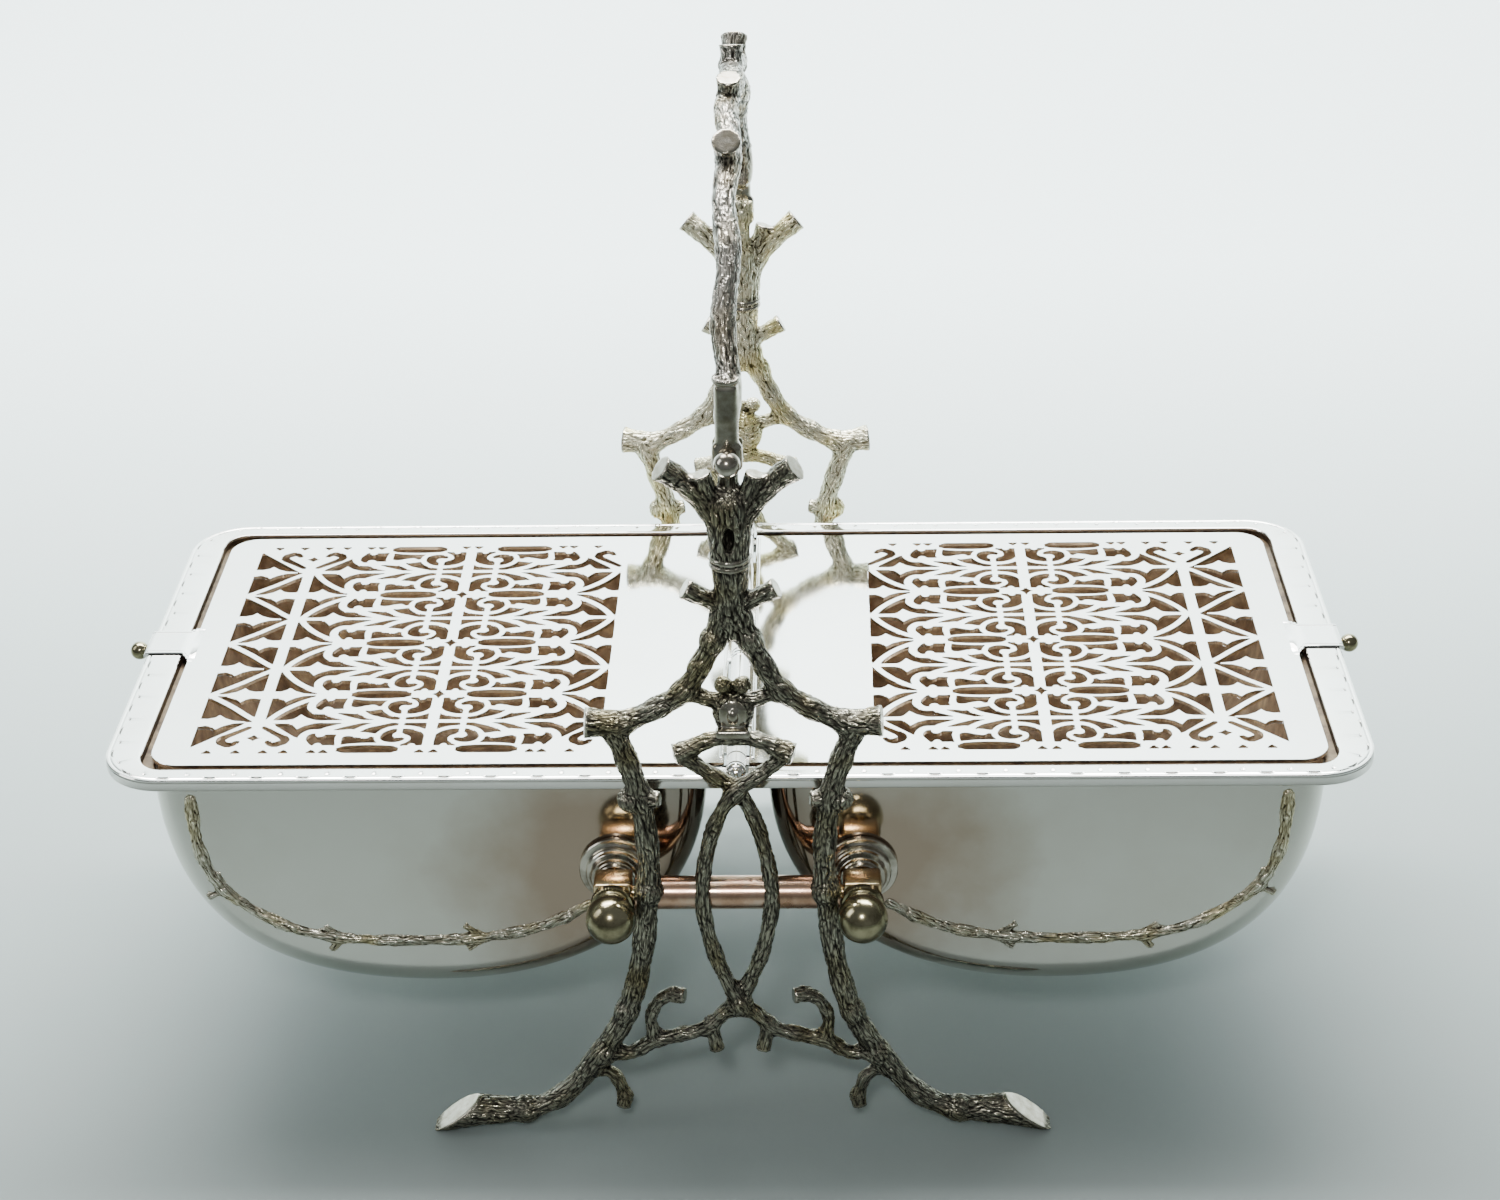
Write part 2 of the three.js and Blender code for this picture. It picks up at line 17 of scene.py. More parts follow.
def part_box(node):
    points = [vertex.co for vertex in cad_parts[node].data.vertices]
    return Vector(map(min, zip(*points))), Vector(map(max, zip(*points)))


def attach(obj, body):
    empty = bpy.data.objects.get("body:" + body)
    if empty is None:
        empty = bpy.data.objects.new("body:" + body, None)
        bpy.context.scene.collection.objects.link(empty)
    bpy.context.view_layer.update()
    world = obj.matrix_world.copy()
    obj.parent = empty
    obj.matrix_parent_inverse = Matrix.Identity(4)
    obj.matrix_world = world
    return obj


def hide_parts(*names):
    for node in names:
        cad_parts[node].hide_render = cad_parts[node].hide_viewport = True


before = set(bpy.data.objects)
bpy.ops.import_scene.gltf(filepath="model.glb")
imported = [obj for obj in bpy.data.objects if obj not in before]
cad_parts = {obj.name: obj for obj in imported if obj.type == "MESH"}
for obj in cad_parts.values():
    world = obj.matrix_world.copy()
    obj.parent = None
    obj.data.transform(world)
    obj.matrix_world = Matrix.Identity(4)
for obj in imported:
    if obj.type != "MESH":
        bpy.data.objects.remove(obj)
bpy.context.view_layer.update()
MM = 0.001


def middle_z(node):
    """The height of the middle of a CAD node, in millimetres."""
    return float(sum(corner[2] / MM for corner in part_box(node)) / 2)


# ---------------------------------------------------------------- driving dimensions
HINGE_Z = middle_z("hinge_pin")
RIM_Z = HINGE_Z - 0.8
FRAME_Y = 104.0
PIVOT_X = 40.0
PIVOT_Z = middle_z("front_cross_tube")
HANDLE_Z = middle_z("front_handle_screw")
SEED = 7


# ---------------------------------------------------------------- mesh helpers
def make_object(name, vertices, faces, material, body, slot, smooth_angle=None, nodes=(), close=False,
                flat_top=False):
    """A mesh object from points in millimetres. It rides on a CAD body and may stand for CAD nodes.

    close turns the faces of each closed part outwards. flat_top keeps level faces free of shading from their
    rounded edges.
    """
    mesh = bpy.data.meshes.new(name)
    mesh.from_pydata((np.asarray(vertices, float) * MM).tolist(), [], [tuple(f) for f in faces])
    if close:
        work = bmesh.new()
        work.from_mesh(mesh)
        bmesh.ops.recalc_face_normals(work, faces=work.faces)
        work.to_mesh(mesh)
        work.free()
    mesh.validate()
    mesh.shade_smooth()
    if smooth_angle is not None:
        mesh.set_sharp_from_angle(angle=math.radians(smooth_angle))
    if flat_top:
        level = [abs(face.normal.z) < 0.999 for face in mesh.polygons]
        mesh.polygons.foreach_set("use_smooth", level)
    mesh.materials.append(material)
    thing = bpy.data.objects.new(name, mesh)
    bpy.context.scene.collection.objects.link(thing)
    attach(thing, body)
    if nodes:
        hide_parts(*nodes)
    return thing


def add_attribute(thing, name, values):
    """Stores one number, or one vector, for each vertex."""
    values = np.asarray(values, np.float32)
    kind, field = ("FLOAT", "value") if values.ndim == 1 else ("FLOAT_VECTOR", "vector")
    thing.data.attributes.new(name, kind, "POINT").data.foreach_set(field, values.ravel())


def add_bark(thing, place, relief, polish):
    """Stores what the twig material reads: the place on the branch, the relief and the polished parts."""
    for name, values in (("bark_place", place), ("relief", relief), ("polish", polish)):
        add_attribute(thing, name, values)


def unit(vectors):
    """The same vectors with a length of one."""
    return vectors / np.maximum(np.linalg.norm(vectors, axis=-1, keepdims=True), 1e-9)


def mirrored(vertices, faces, axis):
    """The same surface on the other side of the plane through the origin across an axis (0, 1 or 2)."""
    flipped = np.array(vertices, float)
    flipped[:, axis] *= -1
    return flipped, [tuple(reversed(face)) for face in faces]


def smooth_step(low, high, x):
    t = np.clip((x - low) / (high - low), 0, 1)
    return t * t * (3 - 2 * t)


def spline(points, steps):
    """Points along a Catmull-Rom curve through the given points, in any number of dimensions."""
    p = np.asarray(points, float)
    p = np.vstack([2 * p[0] - p[1], p, 2 * p[-1] - p[-2]])
    rows = []
    for i in range(1, len(p) - 2):
        t = np.linspace(0, 1, steps, endpoint=False)[:, None]
        a, b, c, d = p[i - 1 : i + 3]
        rows.append(0.5 * (2 * b + (c - a) * t + (2 * a - 5 * b + 4 * c - d) * t**2
                           + (3 * b - a - 3 * c + d) * t**3))
    return np.vstack(rows + [p[-2:-1]])


# ---------------------------------------------------------------- sculpting with a distance field
def filleted(old, new, blend):
    """The union of two distance fields, with a fillet where they meet."""
    h = np.clip(0.5 + 0.5 * (old - new) / blend, 0, 1)
    return new * h + old * (1 - h) - blend * h * (1 - h)


class Sculpt:
    """A signed distance field on a grid of voxels, which becomes one closed surface."""

    FAR = 6.0

    def __init__(self, low, high, voxel):
        self.low, self.voxel = np.array(low, float), voxel
        shape = np.ceil((np.array(high, float) - self.low) / voxel).astype(int) + 1
        self.field = np.full(shape, self.FAR, np.float32)

    def window(self, low, high):
        """The slices of the grid that cover a box, and the coordinates of their voxels."""
        first = np.maximum(np.floor((np.array(low) - self.low) / self.voxel).astype(int), 0)
        last = np.minimum(np.ceil((np.array(high) - self.low) / self.voxel).astype(int) + 1,
                          self.field.shape)
        slices = tuple(slice(a, b) for a, b in zip(first, last))
        axes = [self.low[k] + self.voxel * np.arange(first[k], last[k]) for k in range(3)]
        return slices, np.meshgrid(*axes, indexing="ij", sparse=True)

    def add(self, low, high, distance, blend):
        """Joins a shape, given by its distance function, with a smooth fillet."""
        slices, xyz = self.window(low, high)
        self.field[slices] = filleted(self.field[slices], distance(*xyz).astype(np.float32), blend)

    def cut(self, low, high, distance, blend):
        """Takes a shape away, with a slightly rounded edge."""
        slices, xyz = self.window(low, high)
        self.field[slices] = -filleted(-self.field[slices], distance(*xyz).astype(np.float32), blend)

    def branch(self, path, radii, blend, cut_end=False):
        """Joins a round branch along a path, which may end in a flat cut."""
        path, radii = np.asarray(path, float), np.asarray(radii, float)
        margin = radii.max() + blend + 1
        slices, xyz = self.window(path.min(0) - margin, path.max(0) + margin)
        near = np.full(self.field[slices].shape, self.FAR, np.float32)
        origin = [s.start for s in slices]
        for a, b, ra, rb in zip(path[:-1], path[1:], radii[:-1], radii[1:]):
            part, (x, y, z) = self.window(np.minimum(a, b) - margin, np.maximum(a, b) + margin)
            d = b - a
            t = ((x - a[0]) * d[0] + (y - a[1]) * d[1] + (z - a[2]) * d[2]) / (d @ d)
            t = np.clip(t, 0, 1)
            away = np.sqrt((x - a[0] - t * d[0]) ** 2 + (y - a[1] - t * d[1]) ** 2
                           + (z - a[2] - t * d[2]) ** 2) - ra - t * (rb - ra)
            local = tuple(slice(s.start - o, s.stop - o) for s, o in zip(part, origin))
            near[local] = np.minimum(near[local], away)
        if cut_end:
            direction = unit(path[-1] - path[-2])
            near = np.maximum(near, sum((c - t) * n for c, t, n in zip(xyz, path[-1], direction)))
        self.field[slices] = filleted(self.field[slices], near, blend)

    def surface(self):
        """The vertices in millimetres and the quads of the zero level, facing out."""
        grid = openvdb.FloatGrid(self.FAR)
        grid.copyFromArray(self.field)
        points, quads = grid.convertToQuads(isovalue=0.0)
        points = self.low + self.voxel * np.asarray(points, float)
        quads = np.asarray(quads, int)
        a, b, c, d = (points[quads[:, k]] for k in range(4))
        volume = np.sum((np.cross(b - a, c - a) + np.cross(c - a, d - a)) * a)
        return points, quads if volume > 0 else quads[:, ::-1]


def ball(centre, radii):
    """The rough distance to an ellipsoid."""
    centre, radii = np.asarray(centre, float), np.broadcast_to(np.asarray(radii, float), 3)

    def distance(x, y, z):
        k = np.sqrt(sum(((c - o) / r) ** 2 for c, o, r in zip((x, y, z), centre, radii)))
        return (k - 1) * radii.min()

    return distance


def slab(centre, half, rounding=0.4):
    """The distance to a box with rounded edges."""
    centre, half = np.asarray(centre, float), np.asarray(half, float) - rounding

    def distance(x, y, z):
        q = [np.abs(c - o) - h for c, o, h in zip((x, y, z), centre, half)]
        outside = np.sqrt(sum(np.maximum(c, 0) ** 2 for c in q))
        return outside + np.minimum(np.maximum(np.maximum(q[0], q[1]), q[2]), 0) - rounding

    return distance


def ring(centre, axis, radius, thickness):
    """The distance to a torus round one of the coordinate axes."""
    centre = np.asarray(centre, float)

    def distance(x, y, z):
        q = [x - centre[0], y - centre[1], z - centre[2]]
        along = q.pop(axis)
        return np.sqrt((np.sqrt(q[0] ** 2 + q[1] ** 2) - radius) ** 2 + along**2) - thickness

    return distance


def vertex_normals(points, quads):
    a, b, c, d = (points[quads[:, k]] for k in range(4))
    flat = np.cross(c - a, d - b)
    normals = np.zeros_like(points)
    for k in range(4):
        np.add.at(normals, quads[:, k], flat)
    return unit(normals)


def smoothed(points, quads, rounds):
    """The points after moving each towards the middle of its neighbours."""
    edges = np.vstack([quads[:, [k, (k + 1) % 4]] for k in range(4)])
    start, end = np.vstack([edges, edges[:, ::-1]]).T
    count = np.bincount(start, minlength=len(points))[:, None]
    for _ in range(rounds):
        total = np.stack([np.bincount(start, points[end, k], len(points)) for k in range(3)], 1)
        points = points + 0.6 * (total / np.maximum(count, 1) - points)
    return points


# ---------------------------------------------------------------- bark
BARK_ACROSS, BARK_ALONG = 1.3, 9.0  # size of one plate of bark
BARK_DEPTH, PIT_SIZE, PIT_DEPTH = 0.30, 2.4, 0.12
BARK_LIFT = 0.12  # how far the bark stands over the polished parts
RELIEF_RANGE = 0.22
SCATTER_SIZE = 4096  # how many cell centres there are before the scatter repeats
POINTS_AT_ONCE = 4096
LINE_OFFSET = 40.0  # keeps the bark of one branch from lining up with the next


def cell_edges(points, rng_seed):
    """How far each point is from the edge of its cell in a scatter of one cell per unit cube."""
    table = np.random.default_rng(rng_seed).random((SCATTER_SIZE, 3))
    base = np.floor(points).astype(int)
    first = second = np.full(len(points), 9.0)
    for step in np.ndindex(3, 3, 3):
        cell = base + step - 1
        key = (cell[:, 0] * 73856093 ^ cell[:, 1] * 19349663 ^ cell[:, 2] * 83492791) % SCATTER_SIZE
        away = np.linalg.norm(cell + table[key] - points, axis=1)
        second = np.minimum(second, np.maximum(first, away))
        first = np.minimum(first, away)
    return second - first


def bark_place(points, lines):
    """Where each point lies on its nearest branch: the distance along it and the place across it.

    lines is a list of (path, radii). The result holds across (two numbers) and along, in mm.
    """
    stations = np.vstack([path for path, _ in lines])
    radii = np.concatenate([r for _, r in lines])
    tangents = unit(np.vstack([np.gradient(path, axis=0) for path, _ in lines]))
    run = np.concatenate([
        LINE_OFFSET * k + np.concatenate([[0], np.cumsum(np.linalg.norm(np.diff(path, axis=0), axis=1))])
        for k, (path, _) in enumerate(lines)
    ])
    nearest = np.empty(len(points), int)
    for start in range(0, len(points), POINTS_AT_ONCE):
        part = slice(start, start + POINTS_AT_ONCE)
        away = np.linalg.norm(points[part, None] - stations[None], axis=2) - radii[None]
        nearest[part] = away.argmin(1)
    offset, tangent = points - stations[nearest], tangents[nearest]
    past = np.einsum("ij,ij->i", offset, tangent)
    flat = offset - past[:, None] * tangent
    side = unit(np.cross(tangent, (0.0, 1.0, 0.0)))
    return np.stack([np.einsum("ij,ij->i", flat, side), flat[:, 1], run[nearest] + past], 1)


def carve_bark(points, quads, lines, polished):
    """Cuts wavy grooves along the branches. Returns the points, their bark place and their relief."""
    normals = vertex_normals(points, quads)
    place = bark_place(points, lines)
    across1, across2, along = place.T
    wave = 0.55 * np.sin(0.45 * along + 1.3 * across1) + 0.35 * np.sin(0.9 * along - 1.1 * across2)
    cells = np.stack([(across1 + wave) / BARK_ACROSS, (across2 + 0.6 * wave) / BARK_ACROSS,
                      along / BARK_ALONG], 1)
    groove = 1 - smooth_step(0.03, 0.42, cell_edges(cells, SEED))
    pit_cells = np.stack([across1, across2, along / 2], 1) / PIT_SIZE
    pits = 1 - smooth_step(0.0, 0.5, cell_edges(pit_cells, SEED + 1))
    depth = (groove * BARK_DEPTH + pits * PIT_DEPTH - BARK_LIFT) * (1 - polished)
    carved = points - normals * depth[:, None]
    proud = np.einsum("ij,ij->i", carved - smoothed(carved, quads, 6), vertex_normals(carved, quads))
    return carved, place, np.clip(0.5 + proud / RELIEF_RANGE, 0, 1)


# ---------------------------------------------------------------- materials
class Look:
    """A material with a Principled shader, and short ways to add nodes to it."""

    def __init__(self, name):
        self.material = bpy.data.materials.new(name)
        self.material.use_nodes = True
        self.nodes, self.links = self.material.node_tree.nodes, self.material.node_tree.links
        self.shader = self.nodes["Principled BSDF"]
        # The place on the object in metres, which stays put when a joint moves.
        self.place = self.nodes.new("ShaderNodeTexCoord").outputs["Object"]

    def put(self, value, socket):
        """Feeds a socket with another one, with a number or with a colour of three numbers."""
        if isinstance(value, bpy.types.NodeSocket):
            self.links.new(value, socket)
        else:
            socket.default_value = (*value, 1) if isinstance(value, tuple) else value

    def feed(self, name, value):
        self.put(value, self.shader.inputs[name])

    def noise(self, vector, scale, detail=2.0, roughness=0.5):
        node = self.nodes.new("ShaderNodeTexNoise")
        self.links.new(vector, node.inputs["Vector"])
        for name, value in (("Scale", scale), ("Detail", detail), ("Roughness", roughness)):
            node.inputs[name].default_value = value
        return node.outputs["Fac"]

    def crack_distance(self, vector):
        node = self.nodes.new("ShaderNodeTexVoronoi")
        node.feature = "DISTANCE_TO_EDGE"
        node.inputs["Scale"].default_value = 1.0
        self.links.new(vector, node.inputs["Vector"])
        return node.outputs["Distance"]

    def stretched(self, vector, scale, rotation=(0, 0, 0)):
        node = self.nodes.new("ShaderNodeMapping")
        node.inputs["Scale"].default_value = scale
        node.inputs["Rotation"].default_value = rotation
        self.links.new(vector, node.inputs["Vector"])
        return node.outputs["Vector"]

    def axes(self):
        """The X, Y and Z of the place on the object."""
        node = self.nodes.new("ShaderNodeSeparateXYZ")
        self.links.new(self.place, node.inputs["Vector"])
        return node.outputs["X"], node.outputs["Y"], node.outputs["Z"]

    def ramp(self, factor, *stops):
        """A colour ramp: stops are (position, colour), a colour being one grey or three numbers."""
        node = self.nodes.new("ShaderNodeValToRGB")
        elements = node.color_ramp.elements
        while len(elements) < len(stops):
            elements.new(0.5)
        for element, (position, colour) in zip(elements, stops):
            element.position = position
            element.color = (*(colour if isinstance(colour, tuple) else (colour,) * 3), 1)
        self.links.new(factor, node.inputs["Fac"])
        return node.outputs["Color"]

    def mix(self, factor, a, b, blend_type="MIX"):
        """Mixes two colours, each a socket or three numbers, by a socket or a number."""
        node = self.nodes.new("ShaderNodeMix")
        node.data_type, node.blend_type = "RGBA", blend_type
        for name, value in (("Factor_Float", factor), ("A_Color", a), ("B_Color", b)):
            self.put(value, next(s for s in node.inputs if s.identifier == name))
        return next(s for s in node.outputs if s.identifier == "Result_Color")

    def calc(self, operation, *values):
        """A sum on numbers. The result of MULTIPLY_ADD is kept between 0 and 1."""
        node = self.nodes.new("ShaderNodeMath")
        node.operation = operation
        node.use_clamp = operation == "MULTIPLY_ADD"
        for value, socket in zip(values, node.inputs):
            self.put(value, socket)
        return node.outputs[0]

    def attribute(self, name, output="Fac"):
        node = self.nodes.new("ShaderNodeAttribute")
        node.attribute_name = name
        return node.outputs[output]

    def bump(self, height, distance, strength):
        node = self.nodes.new("ShaderNodeBump")
        node.inputs["Strength"].default_value = strength
        node.inputs["Distance"].default_value = distance * MM
        self.links.new(height, node.inputs["Height"])
        self.links.new(node.outputs["Normal"], self.shader.inputs["Normal"])


# Silver on bark: (dark of the grooves, middle, bright ridge, warm patches), each a linear colour.
BARK_TONES_AND_PAINTED_LIGHT = {
    # The front and rear tones are one silver painted twice: a painted shaded copy for the front frame, and a
    # painted lit copy, also more yellow, for the rear frame.
    "front": ((0.018, 0.016, 0.013), (0.115, 0.108, 0.086), (0.42, 0.40, 0.31), (0.44, 0.38, 0.20)),
    "rear": ((0.05, 0.042, 0.020), (0.56, 0.53, 0.38), (0.96, 0.93, 0.72), (0.62, 0.54, 0.26)),
    "border": ((0.035, 0.028, 0.018), (0.40, 0.37, 0.28), (0.82, 0.79, 0.66), (0.60, 0.52, 0.30)),
    "handle": ((0.022, 0.020, 0.016), (0.19, 0.18, 0.155), (0.60, 0.57, 0.50), (0.46, 0.40, 0.27)),
}
SILVER, TARNISH = (0.93, 0.92, 0.89), (0.50, 0.40, 0.27)
TURNED_TONES = {
    "pivot_plate": ((0.26, 0.23, 0.18), (0.62, 0.58, 0.50)),
    "nut_plate": ((0.16, 0.14, 0.08), (0.42, 0.38, 0.24)),
}
COPPER_TONES = {
    "tube": ((0.42, 0.24, 0.15), (0.70, 0.46, 0.33), (0.78, 0.66, 0.54)),
    "block": ((0.46, 0.26, 0.12), (0.78, 0.58, 0.32), (0.88, 0.76, 0.52)),
}


def oxidised_silver(which):
    """Cast silver twigs: black in the grooves of the bark, polished on the ridges and the sawn faces."""
    # For the front and rear frames these tones hold painted light: painted shade on the front frame, painted
    # light on the rear one.
    dark, middle, bright, warm = BARK_TONES_AND_PAINTED_LIGHT[which]
    look = Look(f"oxidised_silver_{which}")
    bark, polish = look.attribute("bark_place", "Vector"), look.attribute("polish")
    fine = look.noise(look.stretched(bark, (1.3, 1.3, 0.16)), 1.0, 3.0, 0.6)
    crack = look.ramp(look.crack_distance(look.stretched(bark, (0.85, 0.85, 0.12))), (0.0, 0.0), (0.16, 1.0))
    height = look.calc("MULTIPLY", look.calc("ADD", look.attribute("relief"), fine), 0.5)
    height = look.calc("MULTIPLY", height, look.calc("MULTIPLY_ADD", crack, 0.45, 0.55))
    tone = look.ramp(height, (0.22, dark), (0.40, middle), (0.66, bright))
    warmth = look.ramp(look.noise(look.place, 55.0), (0.48, 0.0), (0.66, 0.55))
    tone = look.mix(warmth, tone, look.mix(1.0, tone, tuple(c * 2.0 for c in warm), "MULTIPLY"))
    sawn = look.ramp(look.noise(look.place, 420.0, 3.0), (0.3, (0.30, 0.27, 0.20)), (0.7, (0.52, 0.49, 0.42)))
    rough = look.ramp(height, (0.2, 0.62), (0.62, 0.24))
    look.feed("Base Color", look.mix(polish, tone, sawn))
    look.feed("Metallic", 1.0)
    look.feed("Roughness", look.mix(polish, rough, (0.22, 0.22, 0.22)))
    look.bump(look.calc("MULTIPLY", height, look.calc("SUBTRACT", 1.0, polish)), 0.35, 0.8)
    return look.material


def plated_silver(name, rough=(0.05, 0.16), tarnish=0.15):
    """Polished silver plate with hairline scratches and clouds of tarnish."""
    look = Look(name)
    cloud = look.noise(look.place, 26.0, 4.0, 0.6)
    clouds = look.ramp(cloud, (0.42, 0.0), (0.78, tarnish))
    specks = look.ramp(look.noise(look.place, 900.0), (0.62, 0.0), (0.80, tarnish * 0.6))
    look.feed("Base Color", look.mix(specks, look.mix(clouds, SILVER, TARNISH), TARNISH))
    look.feed("Metallic", 1.0)
    look.feed("Roughness", look.ramp(cloud, (0.35, rough[0]), (0.75, rough[1])))
    scratch = look.noise(look.stretched(look.place, (90, 1900, 1900), (0.2, 0.1, 0.5)), 1.0)
    waviness = look.noise(look.place, 22.0, 1.0)
    look.bump(look.calc("ADD", look.calc("MULTIPLY", scratch, 0.010), waviness), 0.35, 0.5)
    return look.material


def rim_plate():
    """Polished silver plate, dark in the bright-cut dashes and brown in the channel."""
    look = Look("rim_plate")
    in_channel = look.attribute("brown")
    cloud = look.noise(look.place, 30.0, 4.0, 0.6)
    clouds = look.ramp(cloud, (0.45, 0.0), (0.78, 0.22))
    colour = look.mix(clouds, (0.93, 0.92, 0.88), (0.60, 0.52, 0.36))
    mottle = look.noise(look.place, 190.0, 4.0, 0.65)
    brown = look.ramp(mottle, (0.35, (0.06, 0.04, 0.03)), (0.68, (0.19, 0.14, 0.09)))
    colour = look.mix(in_channel, colour, brown)
    look.feed("Base Color", look.mix(look.attribute("cut"), colour, (0.10, 0.09, 0.08)))
    look.feed("Metallic", 1.0)
    rough = look.ramp(cloud, (0.35, 0.05), (0.75, 0.15))
    look.feed("Roughness", look.mix(in_channel, rough, (0.38, 0.38, 0.38)))
    look.bump(look.noise(look.stretched(look.place, (1500, 120, 1500)), 1.0), 0.004, 0.5)
    return look.material


def shell_plate():
    """Warm silver plate outside, worn brown round the pivots, with dark streaks beside the hinge that are
    partly tarnish and partly painted shade between the shells, and brown tarnish inside the tray that is made
    pale as partly painted light.
    """
    look = Look("shell_plate")
    inside = look.attribute("inside")
    x, _, z = look.axes()
    from_hinge = look.calc("ABSOLUTE", x)
    across = look.calc("SUBTRACT", from_hinge, PIVOT_X * MM)
    drop = look.calc("SUBTRACT", z, PIVOT_Z * MM)
    squares = look.calc("ADD", look.calc("POWER", across, 2.0), look.calc("POWER", drop, 2.0))
    cloud = look.noise(look.place, 20.0, 5.0, 0.6)
    reach = look.calc("SUBTRACT", look.calc("SQRT", squares), look.calc("MULTIPLY", cloud, 0.045))
    worn = look.ramp(reach, (0.0, 0.8), (0.035, 0.0))
    haze = look.ramp(cloud, (0.40, 0.0), (0.72, 0.35))
    colour = look.mix(haze, (0.72, 0.72, 0.66), (0.56, 0.52, 0.43))
    colour = look.mix(worn, colour, (0.36, 0.25, 0.17))
    # Dark streaks beside the hinge: partly brown tarnish, partly painted shade where the two shells meet.
    near = look.ramp(look.calc("SUBTRACT", 0.032, from_hinge), (0.0, 0.0), (0.018, 1.0))
    streak = look.noise(look.stretched(look.place, (30, 60, 14)), 1.0, 4.0)
    streaks_and_painted_shade = look.calc("MULTIPLY", near, look.ramp(streak, (0.35, 0.5), (0.6, 1.0)))
    colour = look.mix(streaks_and_painted_shade, colour, (0.13, 0.095, 0.065))
    # The brown inside the tray is tarnish, made pale enough to stand in for light that hardly reaches inside:
    # partly painted light.
    mottle = look.noise(look.place, 140.0, 5.0, 0.65)
    brown = look.ramp(mottle, (0.36, (0.30, 0.22, 0.15)), (0.56, (0.50, 0.38, 0.26)),
                      (0.74, (0.80, 0.64, 0.40)))
    look.feed("Base Color", look.mix(inside, colour, brown))
    look.feed("Metallic", look.ramp(inside, (0.0, 1.0), (1.0, 0.35)))
    rough = look.ramp(cloud, (0.35, 0.06), (0.75, 0.16))
    look.feed("Roughness", look.mix(inside, rough, (0.42, 0.42, 0.42)))
    look.bump(look.noise(look.place, 16.0, 1.0), 0.9, 0.5)
    return look.material


def turned_plate(name):
    """Turned silver plate, brassy on the nuts and knobs; fine rings from the lathe show in the gloss."""
    dark, pale = TURNED_TONES[name]
    look = Look(name)
    wear = look.noise(look.place, 130.0, 4.0, 0.6)
    bright = tuple(c * 1.15 for c in pale)
    look.feed("Base Color", look.ramp(wear, (0.34, dark), (0.58, pale), (0.8, bright)))
    look.feed("Metallic", 1.0)
    look.feed("Roughness", look.ramp(wear, (0.3, 0.26), (0.7, 0.10)))
    look.bump(look.noise(look.stretched(look.place, (700, 4200, 700)), 1.0), 0.006, 0.6)
    return look.material


def worn_copper(which):
    """Copper laid bare where the silver has been rubbed away, with pale traces of the plate."""
    dark, middle, pale = COPPER_TONES[which]
    look = Look(f"worn_copper_{which}")
    wear = look.noise(look.place, 85.0, 4.0, 0.6)
    look.feed("Base Color", look.ramp(wear, (0.32, dark), (0.52, middle), (0.72, pale)))
    look.feed("Metallic", 1.0)
    look.feed("Roughness", look.ramp(wear, (0.3, 0.3), (0.7, 0.14)))
    look.bump(look.noise(look.stretched(look.place, (180, 2400, 2400)), 1.0), 0.008, 0.6)
    return look.material


# ---------------------------------------------------------------- twig frames
TWIG_VOXEL = 0.46
FILLET = 2.6
COLLAR_Z, BAND_OFFSET = 212, 1.1  # the collar is two bands, this far above and below its middle

# One half of an end frame, seen from outside: (x, z) places of the middle of each branch.
LIMBS = (
    (3.4, ((1, 214), (4, 225), (10, 234), (16, 240))),  # crown horn
    (3.5, ((2, 197), (5, 186), (9, 177), (15, 167), (25, 160), (36, 155))),  # bough
    (3.7, ((38, 155), (34, 144), (30, 129), (28, 110), (28.5, 92), (31.5, 67),
           (37, 46), (46, 30), (58, 14), (71, 7), (84, 5.6))),  # leg
    (2.5, ((15, 167), (9, 164.5), (3, 163))),  # twig to the cartouche
    (2.6, ((0, 151), (8, 149), (15, 146))),  # upper arm of the diamond
    (2.6, ((0, 50), (5, 46), (11, 40), (20, 37), (28, 35), (36, 30), (45, 31))),  # brace
    (2.2, ((28, 35), (29, 44), (26, 51), (21, 53.5))),  # curl above the brace
    (2.3, ((49, 25), (42, 21), (38.5, 12))),  # twig hanging from the leg
)
STRAND = ((16, 144), (8, 137), (0, 131), (-6, 120), (-10, 104), (-11, 88), (-8, 71), (-3, 57), (1, 48))
STRAND_RADIUS, STRAND_DEPTH = 2.6, (0, -0.4, -1.3, -0.6, 0, 0, 0, -0.6, -0.8)

# Sawn stumps: the two ends of the middle line as (x, z), and the two radii.
STUMPS = (
    ((15, 239), (20, 243), 3.2, 4.3),  # horn tip
    ((2, 222), (8, 241), 2.6, 3.0),  # crown prong
    ((2, 196), (14, 203), 2.5, 3.4),  # fork below the collar
    ((34, 155.5), (46, 156.5), 3.5, 5.0),  # elbow of bough and leg
    ((12, 147), (18.5, 145), 2.5, 3.5),  # corner of the diamond
    ((29.5, 128), (23.5, 128.5), 2.7, 2.6),
    ((22, 53.2), (17.6, 53.4), 2.3, 2.7),  # tip of the curl
    ((9.5, 42), (7.5, 32), 2.2, 2.6),
    ((38.6, 12.5), (39.3, 8.5), 2.3, 2.5),  # tip of the hanging twig
)
BURLS = ((28.3, 94, 4.9), (0, 50, 3.4), (33, 128, 4.1), (37, 47, 4.2), (45, 30, 4.3), (72, 7.2, 4.6),
         (5.6, 185, 4.2))  # x, z and radius
FOOT_RADII = (3.7, 4.2, 5.0, 5.9, 6.6, 7.0)
FOOT_CUT = ((83, 15.5), (99.5, 3))
OUTSIDE, INSIDE = -9, 8  # how far a frame may reach from its own plane


def beyond_line(a, b):
    """The distance past a plane along Y whose trace in X and Z goes through a and b."""
    (ax, az), (bx, bz) = a, b
    nx, nz = az - bz, bx - ax
    length = math.hypot(nx, nz)

    def distance(x, y, z):
        return -((x - ax) * nx + (z - az) * nz) / length + 0 * y

    return distance


